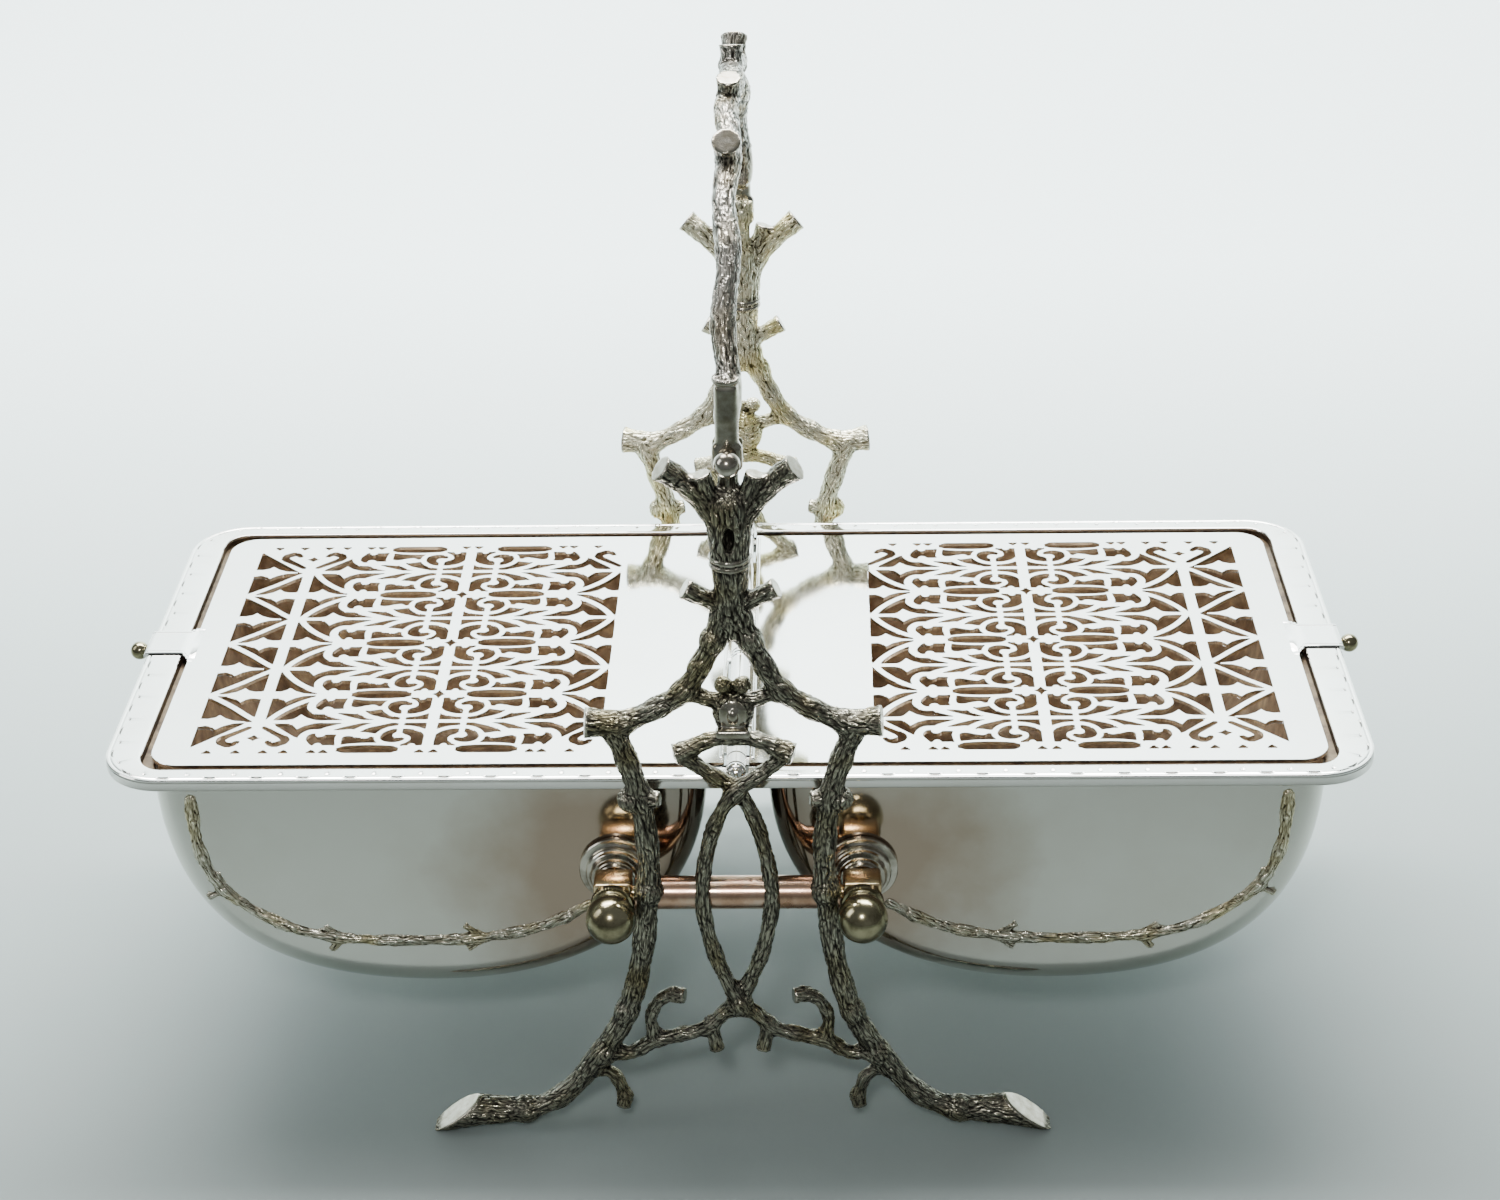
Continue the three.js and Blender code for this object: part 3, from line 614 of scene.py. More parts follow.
def polish_mask(points, cuts, reach=1.0):
    """One on the sawn faces, zero on the bark. cuts is a list of (tip, direction, radius)."""
    mask = np.zeros(len(points))
    for tip, direction, radius in cuts:
        offset = points - tip
        along = offset @ direction
        across = np.linalg.norm(offset - along[:, None] * direction, axis=1)
        face = smooth_step(-reach, -0.35 * reach, along) * (1 - smooth_step(1.5, 2.5, along))
        face *= 1 - smooth_step(radius * 1.15, radius * 1.5, across)
        mask = np.maximum(mask, face)
    return mask


def limb_lines(side):
    """The paths and radii of all branches of one half, as they lie in the frame's own plane."""
    lines = []
    for radius, line in LIMBS:
        path = spline([(side * x, 0, z) for x, z in line], 8)
        swell = 1 + 0.06 * np.sin(np.arange(len(path)) * 0.9 + radius * 5)
        lines.append((path, radius * swell))
    path = spline([(side * x, side * y, z) for (x, z), y in zip(STRAND, STRAND_DEPTH)], 8)
    lines.append((path, STRAND_RADIUS * (1 + 0.06 * np.sin(np.arange(len(path)) * 0.8))))
    return lines


def flared(start, end, r0, r1):
    """The path and radii of a sawn stump, which widens towards its face."""
    return np.linspace(start, end, 5), r0 + (r1 - r0) * np.linspace(0, 1, 5) ** 1.6


def add_frame_half(shape, side, lines, cuts):
    """The limbs, stumps, foot and burls of one half of an end frame."""
    for path, radii in limb_lines(side):
        shape.branch(path, radii, FILLET)
        lines.append((path, radii))
    for start, end, r0, r1 in STUMPS:
        path, radii = flared((side * start[0], 0, start[1]), (side * end[0], -1.2, end[1]), r0, r1)
        shape.branch(path, radii, 1.8, cut_end=True)
        lines.append((path[:-1], radii[:-1]))
        cuts.append((path[-1], unit(path[-1] - path[-2]), r1))
    foot, radii = np.linspace((side * 72, 0, 7.2), (side * 106, 0, 6.0), 6), np.array(FOOT_RADII)
    shape.branch(foot, radii, 1.5)
    lines.append((foot[:-1], radii[:-1]))
    (x0, z0), (x1, z1) = FOOT_CUT
    ends = (side * x0, z0), (side * x1, z1)
    low, high = sorted((side * 78, side * 115))
    shape.cut((low, OUTSIDE, -1), (high, INSIDE, 26), beyond_line(*ends[::side]), 0.5)
    cuts.append(((side * 91.3, 0, 9.3), unit(np.array((side * (z0 - z1), 0, x1 - x0))), 9.5))
    for x, z, r in BURLS:
        burl = ball((side * x, -0.4, z), r)
        shape.add((side * x - 9, OUTSIDE, z - 9), (side * x + 9, INSIDE, z + 9), burl, 1.5)


def twig_frame_surface():
    """Points, quads and surface data of an end frame in its own plane, with its outer face towards -Y."""
    shape = Sculpt((-112, OUTSIDE, -0.5), (112, INSIDE, 253), TWIG_VOXEL)
    lines, cuts = [], []
    for side in (1, -1):
        add_frame_half(shape, side, lines, cuts)
    stem = spline([(0, 0, 188), (0, 0, 200), (0, 0, 212), (0, 0, 222), (0, 0.3, 230)], 6)
    stem_radii = np.interp(stem[:, 2], (188, 200, 212, 222, 230), (3.4, 5.0, 5.9, 6.3, 6.0))
    shape.branch(stem, stem_radii, 2.0)
    post = spline([(0, 0.6, 224), (0, 1.8, 236), (0, 2.3, 246)], 6)
    shape.branch(post, np.interp(post[:, 2], (224, 240, 246), (3.6, 3.0, 3.2)), 1.5)
    lines += [(stem, stem_radii), (post, np.full(len(post), 3.2))]
    shape.add((-8, -2, 238), (8, INSIDE, 253), slab((0, 2.3, 247), (4.6, 2.0, 4.6), 1.9), 1.2)
    shape.cut((-4, OUTSIDE, 214), (4, 0, 228), ball((0, -6.4, 221), (1.7, 3.2, 4.2)), 0.6)
    for z in (COLLAR_Z - BAND_OFFSET, COLLAR_Z + BAND_OFFSET):
        shape.add((-10, OUTSIDE, z - 4), (10, INSIDE, z + 4), ring((0, 0, z), 2, 5.7, 0.85), 0.25)
    add_cartouche(shape)
    shape.cut((-112, OUTSIDE, -2), (112, INSIDE, 4), lambda x, y, z: z + 0 * x + 0 * y, 0.3)
    points, quads = shape.surface()
    points = smoothed(points, quads, 2)
    x, y, z = points.T
    bands = smooth_step(0.95, 0.6, np.abs(np.abs(z - COLLAR_Z) - BAND_OFFSET))
    bands *= smooth_step(7.5, 6.8, np.abs(x))
    facet = (np.abs(x) < 5.8) & (y < -4.0) & (np.abs(z - 159.5) < 6.5)
    sole = smooth_step(0.5, 0.1, z)
    mask = np.maximum.reduce([polish_mask(points, cuts), bands, facet, sole])
    return (*carve_bark(points, quads, lines, mask), quads, mask)


def add_cartouche(shape):
    """The blank shield over a small ledge, in the middle of each end frame."""
    low, high = (-11, OUTSIDE, 148), (11, INSIDE, 176)
    shape.add(low, high, ball((0, 0, 160), (6.6, 5.4, 8)), 1.5)
    for side in (-1, 1):
        shape.add(low, high, ball((side * 3, -1.8, 170), (3, 3, 2.8)), 1.2)
    shape.cut((-6, OUTSIDE, 153), (6, -4.6, 168), slab((0, -8.2, 161.5), (4.6, 3.4, 4.8), 0.6), 0.4)
    shape.add(low, high, ball((0, -4.9, 160.6), (1.7, 1.4, 2.4)), 0.3)
    shape.add(low, high, slab((0, -4.9, 154.8), (5.4, 2.2, 1.5), 0.7), 0.5)


def make_twig_frames():
    points, place, relief, quads, mask = twig_frame_surface()
    for end, side in (("front", 1), ("rear", -1)):
        placed, faces = points - (0, FRAME_Y, 0), quads
        if side < 0:
            placed, faces = mirrored(placed, quads, 1)
        # The front frame takes the painted shaded tones, the rear frame the painted lit tones.
        twig = make_object(f"{end}_twigs", placed, faces, oxidised_silver(end), "frame", "twig_silver",
                           nodes=(f"{end}_twig_frame",))
        add_bark(twig, place, relief, mask)


# ---------------------------------------------------------------- handle
ARCH_REACH, ARCH_RISE, ARCH_RADIUS = 106, 80, 3.8
TONGUE_TOP = 271

# Stumps on one half of the handle: where along the arch (degrees), lean, length and radii.
HANDLE_STUMPS = ((63, -0.9, 9.5, 3.6, 4.6), (82, -0.45, 8, 3.2, 4.0))


def arch_point(degrees):
    a = math.radians(degrees)
    return np.array((0, -ARCH_REACH * math.cos(a), HANDLE_Z + ARCH_RISE * math.sin(a)))


def handle_surface():
    """Points, quads and surface data of the handle: an arch of branch over the box."""
    shape = Sculpt((-9, -118, HANDLE_Z - 8), (9, 118, HANDLE_Z + 93), TWIG_VOXEL)
    arch = np.array([arch_point(a) for a in np.arange(9, 171.1, 2)])
    arch[:, 0] += 0.8 * np.sin(np.arange(len(arch)) * 0.5)
    radii = ARCH_RADIUS * (1 + 0.05 * np.sin(np.arange(len(arch)) * 0.8))
    shape.branch(arch, radii, 2.0)
    lines, cuts = [(arch, radii)], []
    for side in (-1, 1):
        for degrees, lean, length, r0, r1 in HANDLE_STUMPS:
            root = arch_point(degrees if side < 0 else 180 - degrees)
            a = math.radians(degrees)
            out = unit(np.array((0, side * (math.cos(a) - lean * 0.5), math.sin(a) - lean * 0.35)))
            path, widths = flared(root - out, root + out * length, r0, r1)
            shape.branch(path, widths, 1.8, cut_end=True)
            lines.append((path[:-1], widths[:-1]))
            cuts.append((path[-1], out, r1))
        add_handle_end(shape, side)
    points, quads = shape.surface()
    points = smoothed(points, quads, 2)
    tongues = smooth_step(TONGUE_TOP + 1.0, TONGUE_TOP - 0.2, points[:, 2])
    tongues *= smooth_step(100, 102, np.abs(points[:, 1]))
    mask = np.maximum(polish_mask(points, cuts), tongues)
    return (*carve_bark(points, quads, lines, mask), quads, mask)


def add_handle_end(shape, side):
    """The polished tongue with a ring at its top and an eye at its foot."""
    y0, y1 = sorted((side * 96, side * 117))
    low, high = (-8, y0, HANDLE_Z - 8), (8, y1, TONGUE_TOP + 6)
    tongue = [(0, side * y, z) for y, z in ((106.3, HANDLE_Z), (106.3, 254), (106.0, 262), (104.3, 270))]
    shape.branch(tongue, (1.9, 1.9, 2.1, 3.0), 1.0)
    shape.add(low, high, slab((0, side * 106.2, 258.5), (3.5, 2.0, 12), 1.95), 0.8)
    shape.add(low, high, slab((0, side * 106.3, HANDLE_Z), (4.6, 1.95, 4.6), 1.9), 0.8)
    shape.add(low, high, ring((0, side * 104.4, TONGUE_TOP), 2, 3.4, 1.0), 0.3)


def make_handle():
    points, place, relief, quads, mask = handle_surface()
    handle = make_object("handle_twig", points, quads, oxidised_silver("handle"), "handle", "twig_silver",
                         nodes=("handle",))
    add_bark(handle, place, relief, mask)


# ---------------------------------------------------------------- pierced covers
COVER_FAR, COVER_HALF_WIDTH, COVER_CORNER = 190.4, 81.6, 10.0
COVER_TOP, COVER_THICKNESS, EDGE_ROUNDING = RIM_Z - 0.4, 1.2, 0.14
COVER_NEAR = 4.0
BAR_X = 100.8  # the middle of the bar that the scrolls spring from
PANEL_NEAR, PANEL_FAR, PANEL_END = 44.8, 178.3, 74.2
PERIOD = 36.0
OUTER_BAR = 57.7  # from the scroll bar to the bar before the lattice
GRID, LONGEST_RUN = 0.2, 12  # step of the pattern's grid, and the most steps that one edge may replace
SMALLEST_HOLE = 0.6  # mm2

# Strokes of a quarter cell: half widths at both ends, then (distance from the bar, distance from
# the axis of the cell). The pattern is mirrored about the bar, the axis and the cell's edge.
SCROLL_STROKES = (
    (1.15, 0.95, ((0, 0), (10, 0), (26, 0), (36, 0))),  # spine
    (1.0, 0.95, ((10.2, 0), (10.2, 5), (10.3, 8.6))),  # link to the eye of the scroll
    (1.1, 1.0, ((0.5, 9), (2.6, 6.1), (5.8, 4.3), (9.6, 3.7), (13.2, 4.3), (16, 6.6), (17.2, 9.8),
                (16.2, 12.8), (13.2, 14.5), (9.9, 14.3), (7.5, 12.6), (7.2, 10.4), (9.2, 9.2))),  # C scroll
    (1.0, 1.6, ((13.5, 0), (18.5, 2.0), (21.5, 3.3), (24.3, 6.0), (24.6, 8.2), (23, 9.0))),  # first leaf
    (1.0, 1.5, ((18, 9), (20.2, 8.6), (22, 8.4))),
    (1.0, 1.7, ((24, 0.3), (28, 1.8), (31.5, 3.4), (34.6, 5.2), (36, 7.2))),  # second leaf
    (1.6, 1.0, ((24.6, 8.2), (27.4, 8.0), (29.6, 9.6), (29.7, 12.5), (29.3, 15.5))),  # S stroke
    (1.7, 1.2, ((26.5, 6.6), (29.5, 7.0), (32.2, 7.0), (35, 7.2))),
    (0.8, 0.8, ((9.6, 16.0), (13, 15.0), (19, 14.6), (25, 15.0), (30, 16.2))),  # edge of the lens
    (1.4, 1.5, ((36.4, 6.3), (39.6, 6.6), (41.6, 9.2), (41.6, 12.2), (39.8, 15.6))),  # bulge
    (1.2, 1.2, ((55.0, 0.2), (52.5, 4.9), (48.6, 9.9), (43.6, 14.2), (38, 17.2))),  # pointed arch
    (2.4, 2.4, ((31.8, 17.6), (39, 17.8))),  # boss between two cells
    (2.0, 2.0, ((2, 17.6), (7.4, 17.6))),  # joint of two scrolls beside the bar
)
SCROLL_BALLS = ((10.4, 8.9, 1.9), (36, 8.2, 1.7), (36, 15.0, 1.3), (21.2, 9.2, 1.9), (5.2, 15.4, 1.2))
LATTICE_STROKES = ((1.15, 1.15, ((56, -1.5), (61.7, 3.5), (68.2, 10.1), (75.5, 16.5), (79, 19.4))),)

# Lances: where the neck starts, then (distance along, half width).
LANCE = ((0, 0.55), (4, 1.1), (7, 2.6), (9.4, 5.0), (10.1, 3.7), (11.4, 1.9), (12.4, 1.25), (17, 1.1))
FOOTED_LANCE = ((0, 0.45), (4, 0.95), (7, 2.5), (9.4, 4.9), (10.4, 3.4), (12.2, 2.3), (16.5, 2.5))

# The heart that fills each corner, beside the outer bar: holes as strokes and balls.
HOOK_HOLE = (
    (0.85, 1.25, ((2.5, 3.7), (6.0, 6.8), (9.7, 10.0))),
    (1.4, 1.5, ((9.7, 10.0), (10.6, 11.6), (10.1, 13.3))),
    (1.5, 1.6, ((10.1, 13.3), (7.7, 14.8))),
    (1.4, 0.9, ((7.7, 14.8), (6.2, 14.3), (5.0, 12.9))),
)
CORNER_STAR = (10.4, 2.9, 2.4)  # place beyond the axis, and half sizes


def stroke_distance(x, y, strokes):
    """The distance to a set of brush strokes, negative inside them."""
    best = np.full(np.broadcast(x, y).shape, 99.0)
    for r0, r1, line in strokes:
        path = spline(line, 7)
        widths = np.linspace(r0, r1, len(path))
        for (ax, ay), (bx, by), ra, rb in zip(path[:-1], path[1:], widths[:-1], widths[1:]):
            dx, dy = bx - ax, by - ay
            t = np.clip(((x - ax) * dx + (y - ay) * dy) / (dx * dx + dy * dy), 0, 1)
            best = np.minimum(best, np.hypot(x - ax - t * dx, y - ay - t * dy) - ra - t * (rb - ra))
    return best


def lance_distance(along, across, profile):
    """The distance to a spear shape, from its half widths along its own line."""
    places, widths = zip(*profile)
    half = np.interp(along, places, widths, left=-3, right=widths[-1])
    return np.maximum((np.abs(across) - half) * 0.72, places[0] - along)


def star_distance(x, y, half_x, half_y):
    """The distance to a four-pointed star with hollow sides."""
    return ((np.abs(x) / half_x) ** 0.62 + (np.abs(y) / half_y) ** 0.62 - 1) * min(half_x, half_y) * 0.8


def panel_metal(x, y):
    """Negative where the pierced panel has metal, in mm; x runs out from the hinge, y along it."""
    out = x - BAR_X
    reach = np.abs(out)
    cell = np.abs((np.abs(y) % PERIOD) - PERIOD / 2)  # distance from the nearest axis
    metal = stroke_distance(reach, cell, SCROLL_STROKES)
    for bx, by, r in SCROLL_BALLS:
        metal = np.minimum(metal, np.hypot(reach - bx, cell - by) - r)
    edge = PERIOD / 2 - cell
    metal = np.minimum(metal, lance_distance(reach - 35, cell, LANCE))
    metal = np.minimum(metal, lance_distance(reach - 41.5, edge, FOOTED_LANCE))
    metal = np.minimum(metal, reach - 1.9)
    lattice = stroke_distance(reach, cell, LATTICE_STROKES)
    lattice = np.minimum(lattice, lance_distance(reach - 62, cell, FOOTED_LANCE))
    lattice = np.minimum(lattice, lance_distance(75.4 - reach, edge, FOOTED_LANCE))
    metal = np.where(out > OUTER_BAR, lattice, metal)
    metal = np.minimum(metal, np.abs(out - OUTER_BAR) - 1.9)
    metal = np.maximum(metal, -lens_distance(reach, edge))
    star = np.where(np.abs(y) < 60, star_distance(out, edge, 2.5, 3.3), 9.0)
    metal = np.maximum(metal, -star)
    block, hooks = corner_metal(np.abs(reach - OUTER_BAR), np.abs(y) - 1.5 * PERIOD)
    metal = np.maximum(np.minimum(metal, block), -hooks)
    frame_edge = np.maximum(np.abs(x - (PANEL_NEAR + PANEL_FAR) / 2) - (PANEL_FAR - PANEL_NEAR) / 2,
                            np.abs(y) - PANEL_END)
    metal = np.minimum(metal, -frame_edge)
    return np.maximum(metal, -end_nicks(out, y))


def lens_distance(reach, edge):
    """The long slot across each cell edge, with toothed ends."""
    along = reach - 19.3
    half = 2.7 * (1 - (np.abs(along) / 17.0) ** 2)
    teeth = 1.7 * np.abs((edge / 1.1) % 2 - 1)
    return np.maximum((edge - half) * 0.95, (np.abs(along) - 9.6 + teeth) * 0.6)


def corner_metal(across, past):
    """The solid heart in each corner, above both diagonals, but for the hooks and a star."""
    block = np.maximum((across - 3.5 - past) * 0.7, np.maximum(-past, across - 16 - 0.35 * past))
    holes = stroke_distance(across, past, HOOK_HOLE)
    holes = np.minimum(holes, star_distance(across, past - CORNER_STAR[0], *CORNER_STAR[1:]))
    return block, holes


def end_nicks(out, y):
    """Small three-cornered cuts along both ends of the panel."""
    depth = PANEL_END - np.abs(y)
    nearest = np.full(np.broadcast(out, y).shape, 9.0)
    for place in (-46.5, -37.5, -33.6, -2.3, 2.3, 33.6, 37.5, 46.5, 53.2, 62.2, 71.5):
        nearest = np.minimum(nearest, np.abs(out - place) + np.abs(depth) * 0.85 - 1.9)
    return np.maximum(nearest, -depth)


def contours(field, level=0.0):
    """Closed loops along a level of a grid, in grid units, with the lower side on the left."""
    inside = field < level
    links, places = {}, {}

    def crossing(i, j, k, l):
        key = (i, j, k, l)
        if key not in places:
            a, b = field[i, j] - level, field[k, l] - level
            t = a / (a - b)
            places[key] = (i + t * (k - i), j + t * (l - j))
        return key

    corners_in = inside[:-1, :-1] + 2 * inside[1:, :-1] + 4 * inside[1:, 1:] + 8 * inside[:-1, 1:]
    sides = ((0, 0, 1, 0), (1, 0, 1, 1), (0, 1, 1, 1), (0, 0, 0, 1))
    # The sides that a loop goes in and out by, for each set of corners.
    table = {1: ((0, 3),), 2: ((1, 0),), 3: ((1, 3),), 4: ((2, 1),), 5: ((0, 1), (2, 3)), 6: ((2, 0),),
             7: ((2, 3),), 8: ((3, 2),), 9: ((0, 2),), 10: ((1, 2), (3, 0)), 11: ((1, 2),), 12: ((3, 1),),
             13: ((0, 1),), 14: ((3, 0),)}
    for i, j in zip(*np.nonzero((corners_in > 0) & (corners_in < 15))):
        for a, b in table[corners_in[i, j]]:
            ends = [crossing(*(np.array(sides[s]) + (i, j, i, j)).tolist()) for s in (a, b)]
            links[ends[0]] = ends[1]
    loops = []
    while links:
        start, key = links.popitem()
        loop = [start]
        while key != start:
            loop.append(key)
            key = links.pop(key)
        loops.append(np.array([places[k] for k in loop]))
    return loops


def thinned(loop, tolerance):
    """A closed loop without the points that lie within a tolerance of straight runs."""
    keep, anchor = [0], 0
    count = len(loop)
    for i in range(2, count + 1):
        a, b = loop[anchor], loop[i % count]
        run = b - a
        length = max(np.hypot(*run), 1e-9)
        between = loop[anchor + 1 : i] - a
        away = np.abs(between[:, 0] * run[1] - between[:, 1] * run[0]) / length
        if away.max() > tolerance or i - anchor > LONGEST_RUN:
            anchor = i - 1
            keep.append(anchor)
    return loop[keep]


def inset(loop, distance):
    """A closed loop moved to its left by a distance."""
    ahead = unit(np.roll(loop, -1, 0) - loop)
    along = unit(ahead + np.roll(ahead, 1, 0))
    stretch = 1 / np.clip(np.einsum("ij,ij->i", along, ahead), 0.6, 1)
    return loop + distance * stretch[:, None] * np.stack([-along[:, 1], along[:, 0]], 1)


def cut_sheet(loops, is_metal, top, thickness, rounding):
    """A flat sheet with pierced holes as one closed mesh with rounded upper edges."""
    rims = [inset(loop, rounding) for loop in loops]
    flat = np.vstack(rims)
    starts = np.cumsum([0] + [len(r) for r in rims])
    edges = [(int(s + k), int(s + (k + 1) % len(r))) for s, r in zip(starts, rims) for k in range(len(r))]
    out_points, _, triangles, origins, _, _ = delaunay_2d_cdt([Vector(p) for p in flat], edges, [], 1, 1e-5)
    count = len(flat)
    names = np.array([o[0] if o else -1 for o in origins])
    extra = {k: count + n for n, k in enumerate(np.nonzero(names < 0)[0])}
    middles = np.array([np.mean([out_points[v] for v in t], axis=0) for t in triangles])
    kept = is_metal(middles[:, 0], middles[:, 1])
    caps = [[int(names[v]) if names[v] >= 0 else extra[v] for v in triangle]
            for triangle, good in zip(triangles, kept) if good]
    upper = np.vstack([flat] + [np.array([out_points[k] for k in extra]).reshape(-1, 2)])
    walls = np.vstack(loops)
    total = len(upper)
    points = np.vstack([
        np.column_stack([upper, np.full(total, top)]),
        np.column_stack([walls, np.full(count, top - rounding)]),
        np.column_stack([walls, np.full(count, top - thickness)]),
        np.column_stack([upper[count:], np.full(total - count, top - thickness)]),
    ])
    lower = total + count
    faces = [tuple(c) for c in caps] + [tuple(lower + v for v in reversed(c)) for c in caps]
    for a, b in edges:
        faces.append((b, a, total + a, total + b))
        faces.append((total + b, total + a, lower + a, lower + b))
    return points, faces


def cover_outline():
    """The rounded outer edge of a cover, anticlockwise, with the hinge side straight."""
    loop = []
    for cx, cy, start in ((COVER_FAR - COVER_CORNER, -COVER_HALF_WIDTH + COVER_CORNER, -90),
                          (COVER_FAR - COVER_CORNER, COVER_HALF_WIDTH - COVER_CORNER, 0)):
        for degrees in range(start, start + 91, 5):
            a = math.radians(degrees)
            loop.append((cx + COVER_CORNER * math.cos(a), cy + COVER_CORNER * math.sin(a)))
    loop += [(COVER_NEAR, y) for y in np.linspace(COVER_HALF_WIDTH, -COVER_HALF_WIDTH, 9)]
    return np.array(loop)


def pierced_sheet():
    """The flat sheet of the right cover."""
    xs = np.arange(PANEL_NEAR - 2, PANEL_FAR + 2, GRID)
    ys = np.arange(-PANEL_END - 2, PANEL_END + 2, GRID)
    field = panel_metal(xs[:, None], ys[None, :])
    for _ in range(2):  # softens the corners a little
        field[1:-1, 1:-1] = (field[1:-1, 1:-1] * 4 + field[2:, 1:-1] + field[:-2, 1:-1]
                             + field[1:-1, 2:] + field[1:-1, :-2]) / 8
    field += 1e-4
    holes = []
    for loop in contours(field):
        place = np.array([xs[0], ys[0]]) + GRID * loop
        (x, y), (next_x, next_y) = place.T, np.roll(place, -1, 0).T
        if abs(0.5 * np.sum(x * next_y - next_x * y)) > SMALLEST_HOLE:
            holes.append(thinned(place, 0.02))

    def is_metal(x, y):
        i = np.clip(((x - xs[0]) / GRID).round().astype(int), 0, len(xs) - 1)
        j = np.clip(((y - ys[0]) / GRID).round().astype(int), 0, len(ys) - 1)
        away = (x < xs[0]) | (x > xs[-1]) | (y < ys[0]) | (y > ys[-1])
        return away | (field[i, j] < 0)

    return cut_sheet([cover_outline()] + holes, is_metal, COVER_TOP, COVER_THICKNESS, EDGE_ROUNDING)


def make_covers():
    sheet = pierced_sheet()
    material = plated_silver("mirror_plate", rough=(0.035, 0.10), tarnish=0.10)
    for side, name in ((1, "right"), (-1, "left")):
        points, faces = joined(sheet, cover_fittings(name))
        if side < 0:
            points, faces = mirrored(points, faces, 0)
        make_object(f"{name}_pierced_cover", points, faces, material, f"{name}_cover", "mirror_plate", 35,
                    nodes=(f"{name}_cover",), close=True, flat_top=True)


# ---------------------------------------------------------------- meshes from grids and turned profiles
KNURL_DEPTH = 0.28
TIP = 0.02  # radius of the smallest ring at the end of a turned piece


def grid_faces(rows, columns, wrap_rows=False, wrap_columns=False):
    """The quads of a grid of points that are numbered row by row."""
    faces = []
    for i in range(rows if wrap_rows else rows - 1):
        for j in range(columns if wrap_columns else columns - 1):
            a, b, k = i * columns, (i + 1) % rows * columns, (j + 1) % columns
            faces.append((a + j, a + k, b + k, b + j))
    return faces


def skin(rows, wrap_rows=False):
    """A surface over rows of points, each a loop: closed by a face at both ends, or joined end to end."""
    points, columns = np.concatenate(rows), len(rows[0])
    faces = grid_faces(len(rows), columns, wrap_rows, wrap_columns=True)
    if not wrap_rows:
        faces += [tuple(range(columns)), tuple(len(points) - 1 - k for k in range(columns))]
    return points, faces


def at_y(flat, y):
    """Pairs of (x, z) as points at one Y."""
    return np.insert(np.asarray(flat, float), 1, y, axis=1)


def circle(angles):
    """Points of a unit circle at angles in radians."""
    return np.stack([np.cos(angles), np.sin(angles)], 1)


def joined(*pieces):
    """Several (points, faces) pairs as one."""
    points, faces, start = [], [], 0
    for vertices, polygons in pieces:
        points.append(np.asarray(vertices, float))
        faces += [tuple(v + start for v in face) for face in polygons]
        start += len(vertices)
    return np.vstack(points), faces


def turned(profile, along, segments=48, knurled=()):
    """A lathe-turned piece. The profile holds (radius, distance) pairs along the Y axis.

    along is +1 or -1, the way the distances run. Rows listed in knurled get fine teeth.
    """
    round_once = circle(np.linspace(0, 2 * math.pi, segments, endpoint=False))
    tooth = np.where(np.arange(segments) % 2, KNURL_DEPTH, 0)[:, None]
    return skin([at_y((radius - tooth * (k in knurled)) * round_once, along * distance)
                 for k, (radius, distance) in enumerate(profile)])


def arc(centre, radius, start, end, steps):
    """(radius, distance) pairs along a ball that is centred on the axis; the angles are in degrees."""
    angles = np.radians(np.linspace(start, end, steps + 1))
    return [(max(TIP, radius * math.cos(a)), centre + radius * math.sin(a)) for a in angles]


def drawn_along_y(outline, stations):
    """A bar with an (x, z) outline. Each station is (y, how far the outline is drawn in there)."""
    outline = np.asarray(outline, float)
    ahead = unit(np.roll(outline, -1, 0) - np.roll(outline, 1, 0))
    inward = np.stack([-ahead[:, 1], ahead[:, 0]], 1)
    return skin([at_y(outline + by * inward, y) for y, by in stations])


# ---------------------------------------------------------------- hinge barrel
KNUCKLE_RADIUS, KNUCKLE_BORE, KNUCKLE_STEPS = 3.2, 1.9, 30
LONG_KNUCKLE = 20.0
RIM_KNUCKLES = {"left": ((82, 88),), "right": ((75.7, 81.7),)}
COVER_KNUCKLES = {"left": ((60, 75.4),), "right": ((15, 59.7),)}
MIDDLE_KNUCKLE = (-14.7, 14.7)


def knuckle(y0, y1, leaf, start, end):
    """One barrel of the hinge with the leaf that joins it to its plate on the +X side.

    leaf is the (x, z) end of the outline, from its upper corner to its lower one, measured like the
    rest from the axis of the hinge; start and end are the angles where the barrel leaves it.
    """
    barrel = np.radians(np.linspace(start, end, KNUCKLE_STEPS))
    beside_leaf = np.radians(np.linspace(end, start + 360, len(leaf) + 2)[1:-1])
    outer = np.vstack([KNUCKLE_RADIUS * circle(barrel), leaf[::-1]])
    inner = KNUCKLE_BORE * circle(np.concatenate([barrel, beside_leaf]))
    rings = ((1.6, 0.0), (1.8, 0.22), (2.2, 0.22), (2.4, 0.0)) if y1 - y0 > LONG_KNUCKLE else ()
    stations = [(y0, 0.25), (y0 + 0.25, 0.0)] + [(y0 + y, deep) for y, deep in rings]
    stations += [(y0 + y1 - y, deep) for y, deep in reversed(stations)]
    rows = []
    for y, deep in stations:
        flat = outer.copy()
        flat[:KNUCKLE_STEPS] *= 1 - deep / KNUCKLE_RADIUS
        rows.append(at_y(flat, y))
    points, faces = skin(rows + [at_y(inner, y1), at_y(inner, y0)], wrap_rows=True)
    return points + (0, 0, HINGE_Z), faces


def knuckles(spans, leaf, start, end):
    """The same barrels on both sides of the middle."""
    return [knuckle(*span, leaf, start, end) for y0, y1 in spans for span in ((y0, y1), (-y1, -y0))]


